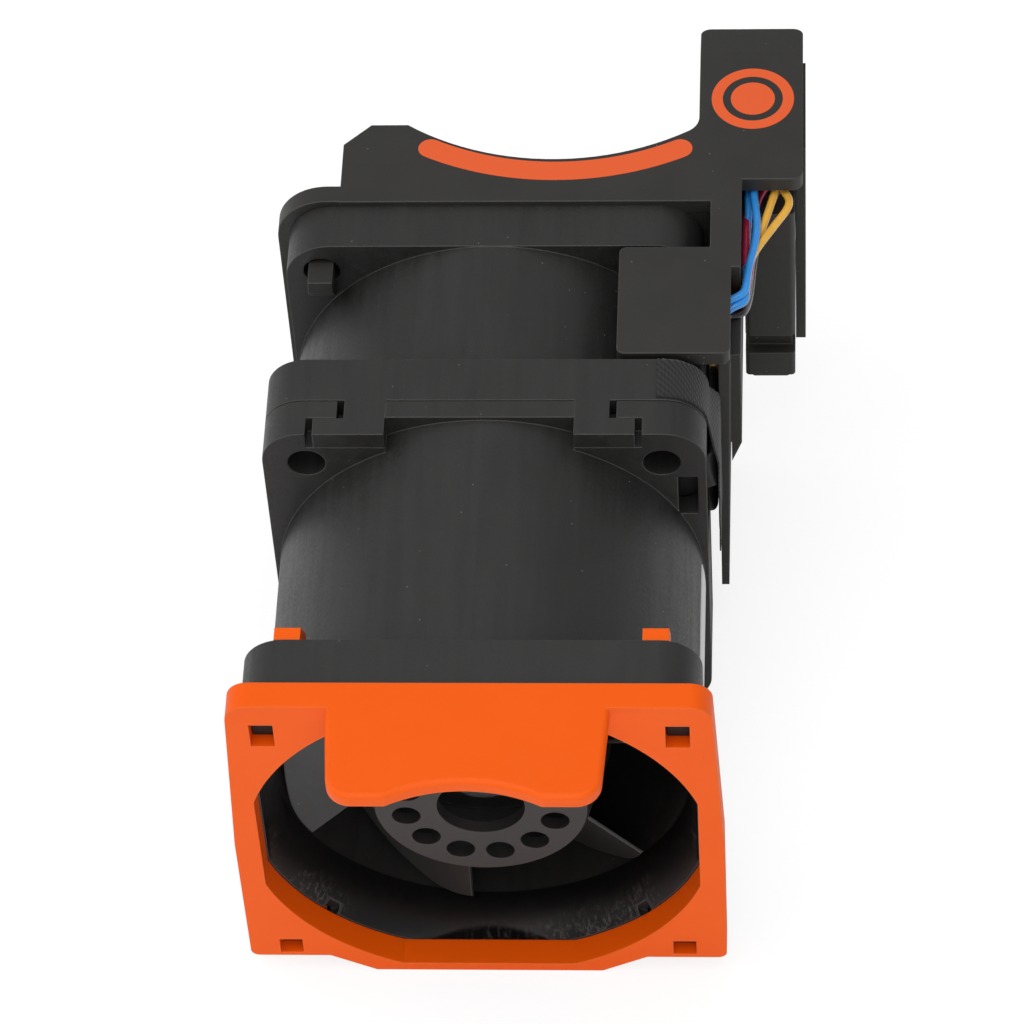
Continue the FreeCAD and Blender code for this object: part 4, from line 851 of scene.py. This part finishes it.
def make_world():
    """Even white surroundings, white to the camera."""
    world = bpy.data.worlds.new("studio")
    bpy.context.scene.world = world
    world.use_nodes = True
    tree = world.node_tree
    tree.nodes.clear()
    rays = add_node(tree, "ShaderNodeLightPath")
    strength = add_node(tree, "ShaderNodeMapRange", {"Value": rays.outputs["Is Camera Ray"]},
                        {"To Min": 0.42, "To Max": 1.0})
    glow = add_node(tree, "ShaderNodeBackground", {"Strength": strength.outputs["Result"]},
                    {"Color": (1, 1, 1, 1)})
    add_node(tree, "ShaderNodeOutputWorld", {"Surface": glow.outputs["Background"]})


def area_light(name, place, aim, size, power):
    """Soft square lamp that shines from place to aim."""
    data = bpy.data.lights.new(name, "AREA")
    data.size = size
    data.energy = power
    lamp = bpy.data.objects.new(name, data)
    bpy.context.collection.objects.link(lamp)
    way = Vector(aim) - Vector(place)
    lamp.matrix_world = Matrix.Translation(place) @ way.to_track_quat("-Z", "Y").to_matrix().to_4x4()


def make_lights():
    """Large soft boxes above, in front and to the left."""
    middle = (0.0, 0.03, 0.02)
    area_light("top softbox", (-0.1, -0.1, 0.75), middle, 0.7, 3.2)
    area_light("front softbox", (0.1, -0.7, 0.4), middle, 0.5, 1.6)
    area_light("left softbox", (-0.7, 0.1, 0.35), middle, 0.5, 1.2)


AIM = Vector((0.0, 0.0255, 0.030))
AIM_RIGHT, AIM_DOWN = 2.2627, 0.6812   # mm that the camera looks beside and below that point


def make_camera(stage):
    """Camera that looks down on the inlet, slightly from the right."""
    e = stage.elevation
    a = stage.azimuth
    back = Vector((math.sin(a) * math.cos(e), -math.cos(a) * math.cos(e), math.sin(e)))
    flat = Vector((math.cos(a), math.sin(a), 0))
    rise = back.cross(flat)
    right = flat * math.cos(stage.roll) + rise * math.sin(stage.roll)
    up = rise * math.cos(stage.roll) - flat * math.sin(stage.roll)
    aim = AIM + right * AIM_RIGHT * MM - up * AIM_DOWN * MM
    data = bpy.data.cameras.new("camera")
    data.lens = stage.focal
    data.sensor_width = 36.0
    data.clip_start = 0.01
    camera = bpy.data.objects.new("camera", data)
    bpy.context.collection.objects.link(camera)
    turn = Matrix((right, up, back)).transposed().to_4x4()
    camera.matrix_world = Matrix.Translation(aim + back * stage.distance) @ turn
    bpy.context.scene.camera = camera


class FANMODULE_PT_panel(bpy.types.Panel):
    """Sidebar panel with one button for each group of pieces"""

    bl_idname = "FANMODULE_PT_panel"
    bl_label = "Fan Module"
    bl_space_type = "VIEW_3D"
    bl_region_type = "UI"
    bl_category = "Fan Module"

    def draw(self, context):
        for settings in (context.scene.fan_colours, context.scene.fan_sizes, context.scene.fan_stage):
            box = self.layout.box()
            for name in settings.__annotations__:
                box.prop(settings, name)
        for operator in OPERATORS:
            self.layout.operator(operator.bl_idname)


OPERATORS = (FANMODULE_OT_housings, FANMODULE_OT_bezel, FANMODULE_OT_motors, FANMODULE_OT_wiring,
             FANMODULE_OT_prints, FANMODULE_OT_stage)
SETTINGS = {"fan_colours": FanModuleColours, "fan_sizes": FanModuleSizes, "fan_stage": FanModuleStage}


def register():
    """Registers the classes and puts the settings on the scene."""
    for item in (*SETTINGS.values(), *OPERATORS, FANMODULE_PT_panel):
        bpy.utils.register_class(item)
    for name, group in SETTINGS.items():
        setattr(bpy.types.Scene, name, bpy.props.PointerProperty(type=group))


def unregister():
    """Takes the settings and the classes away again."""
    for name in SETTINGS:
        delattr(bpy.types.Scene, name)
    for item in reversed((*SETTINGS.values(), *OPERATORS, FANMODULE_PT_panel)):
        bpy.utils.unregister_class(item)


def main():
    """Dresses the module piece by piece."""
    register()
    for operator in OPERATORS:
        group, name = operator.bl_idname.split(".")
        getattr(getattr(bpy.ops, group), name)()


if __name__ == "__main__":
    main()
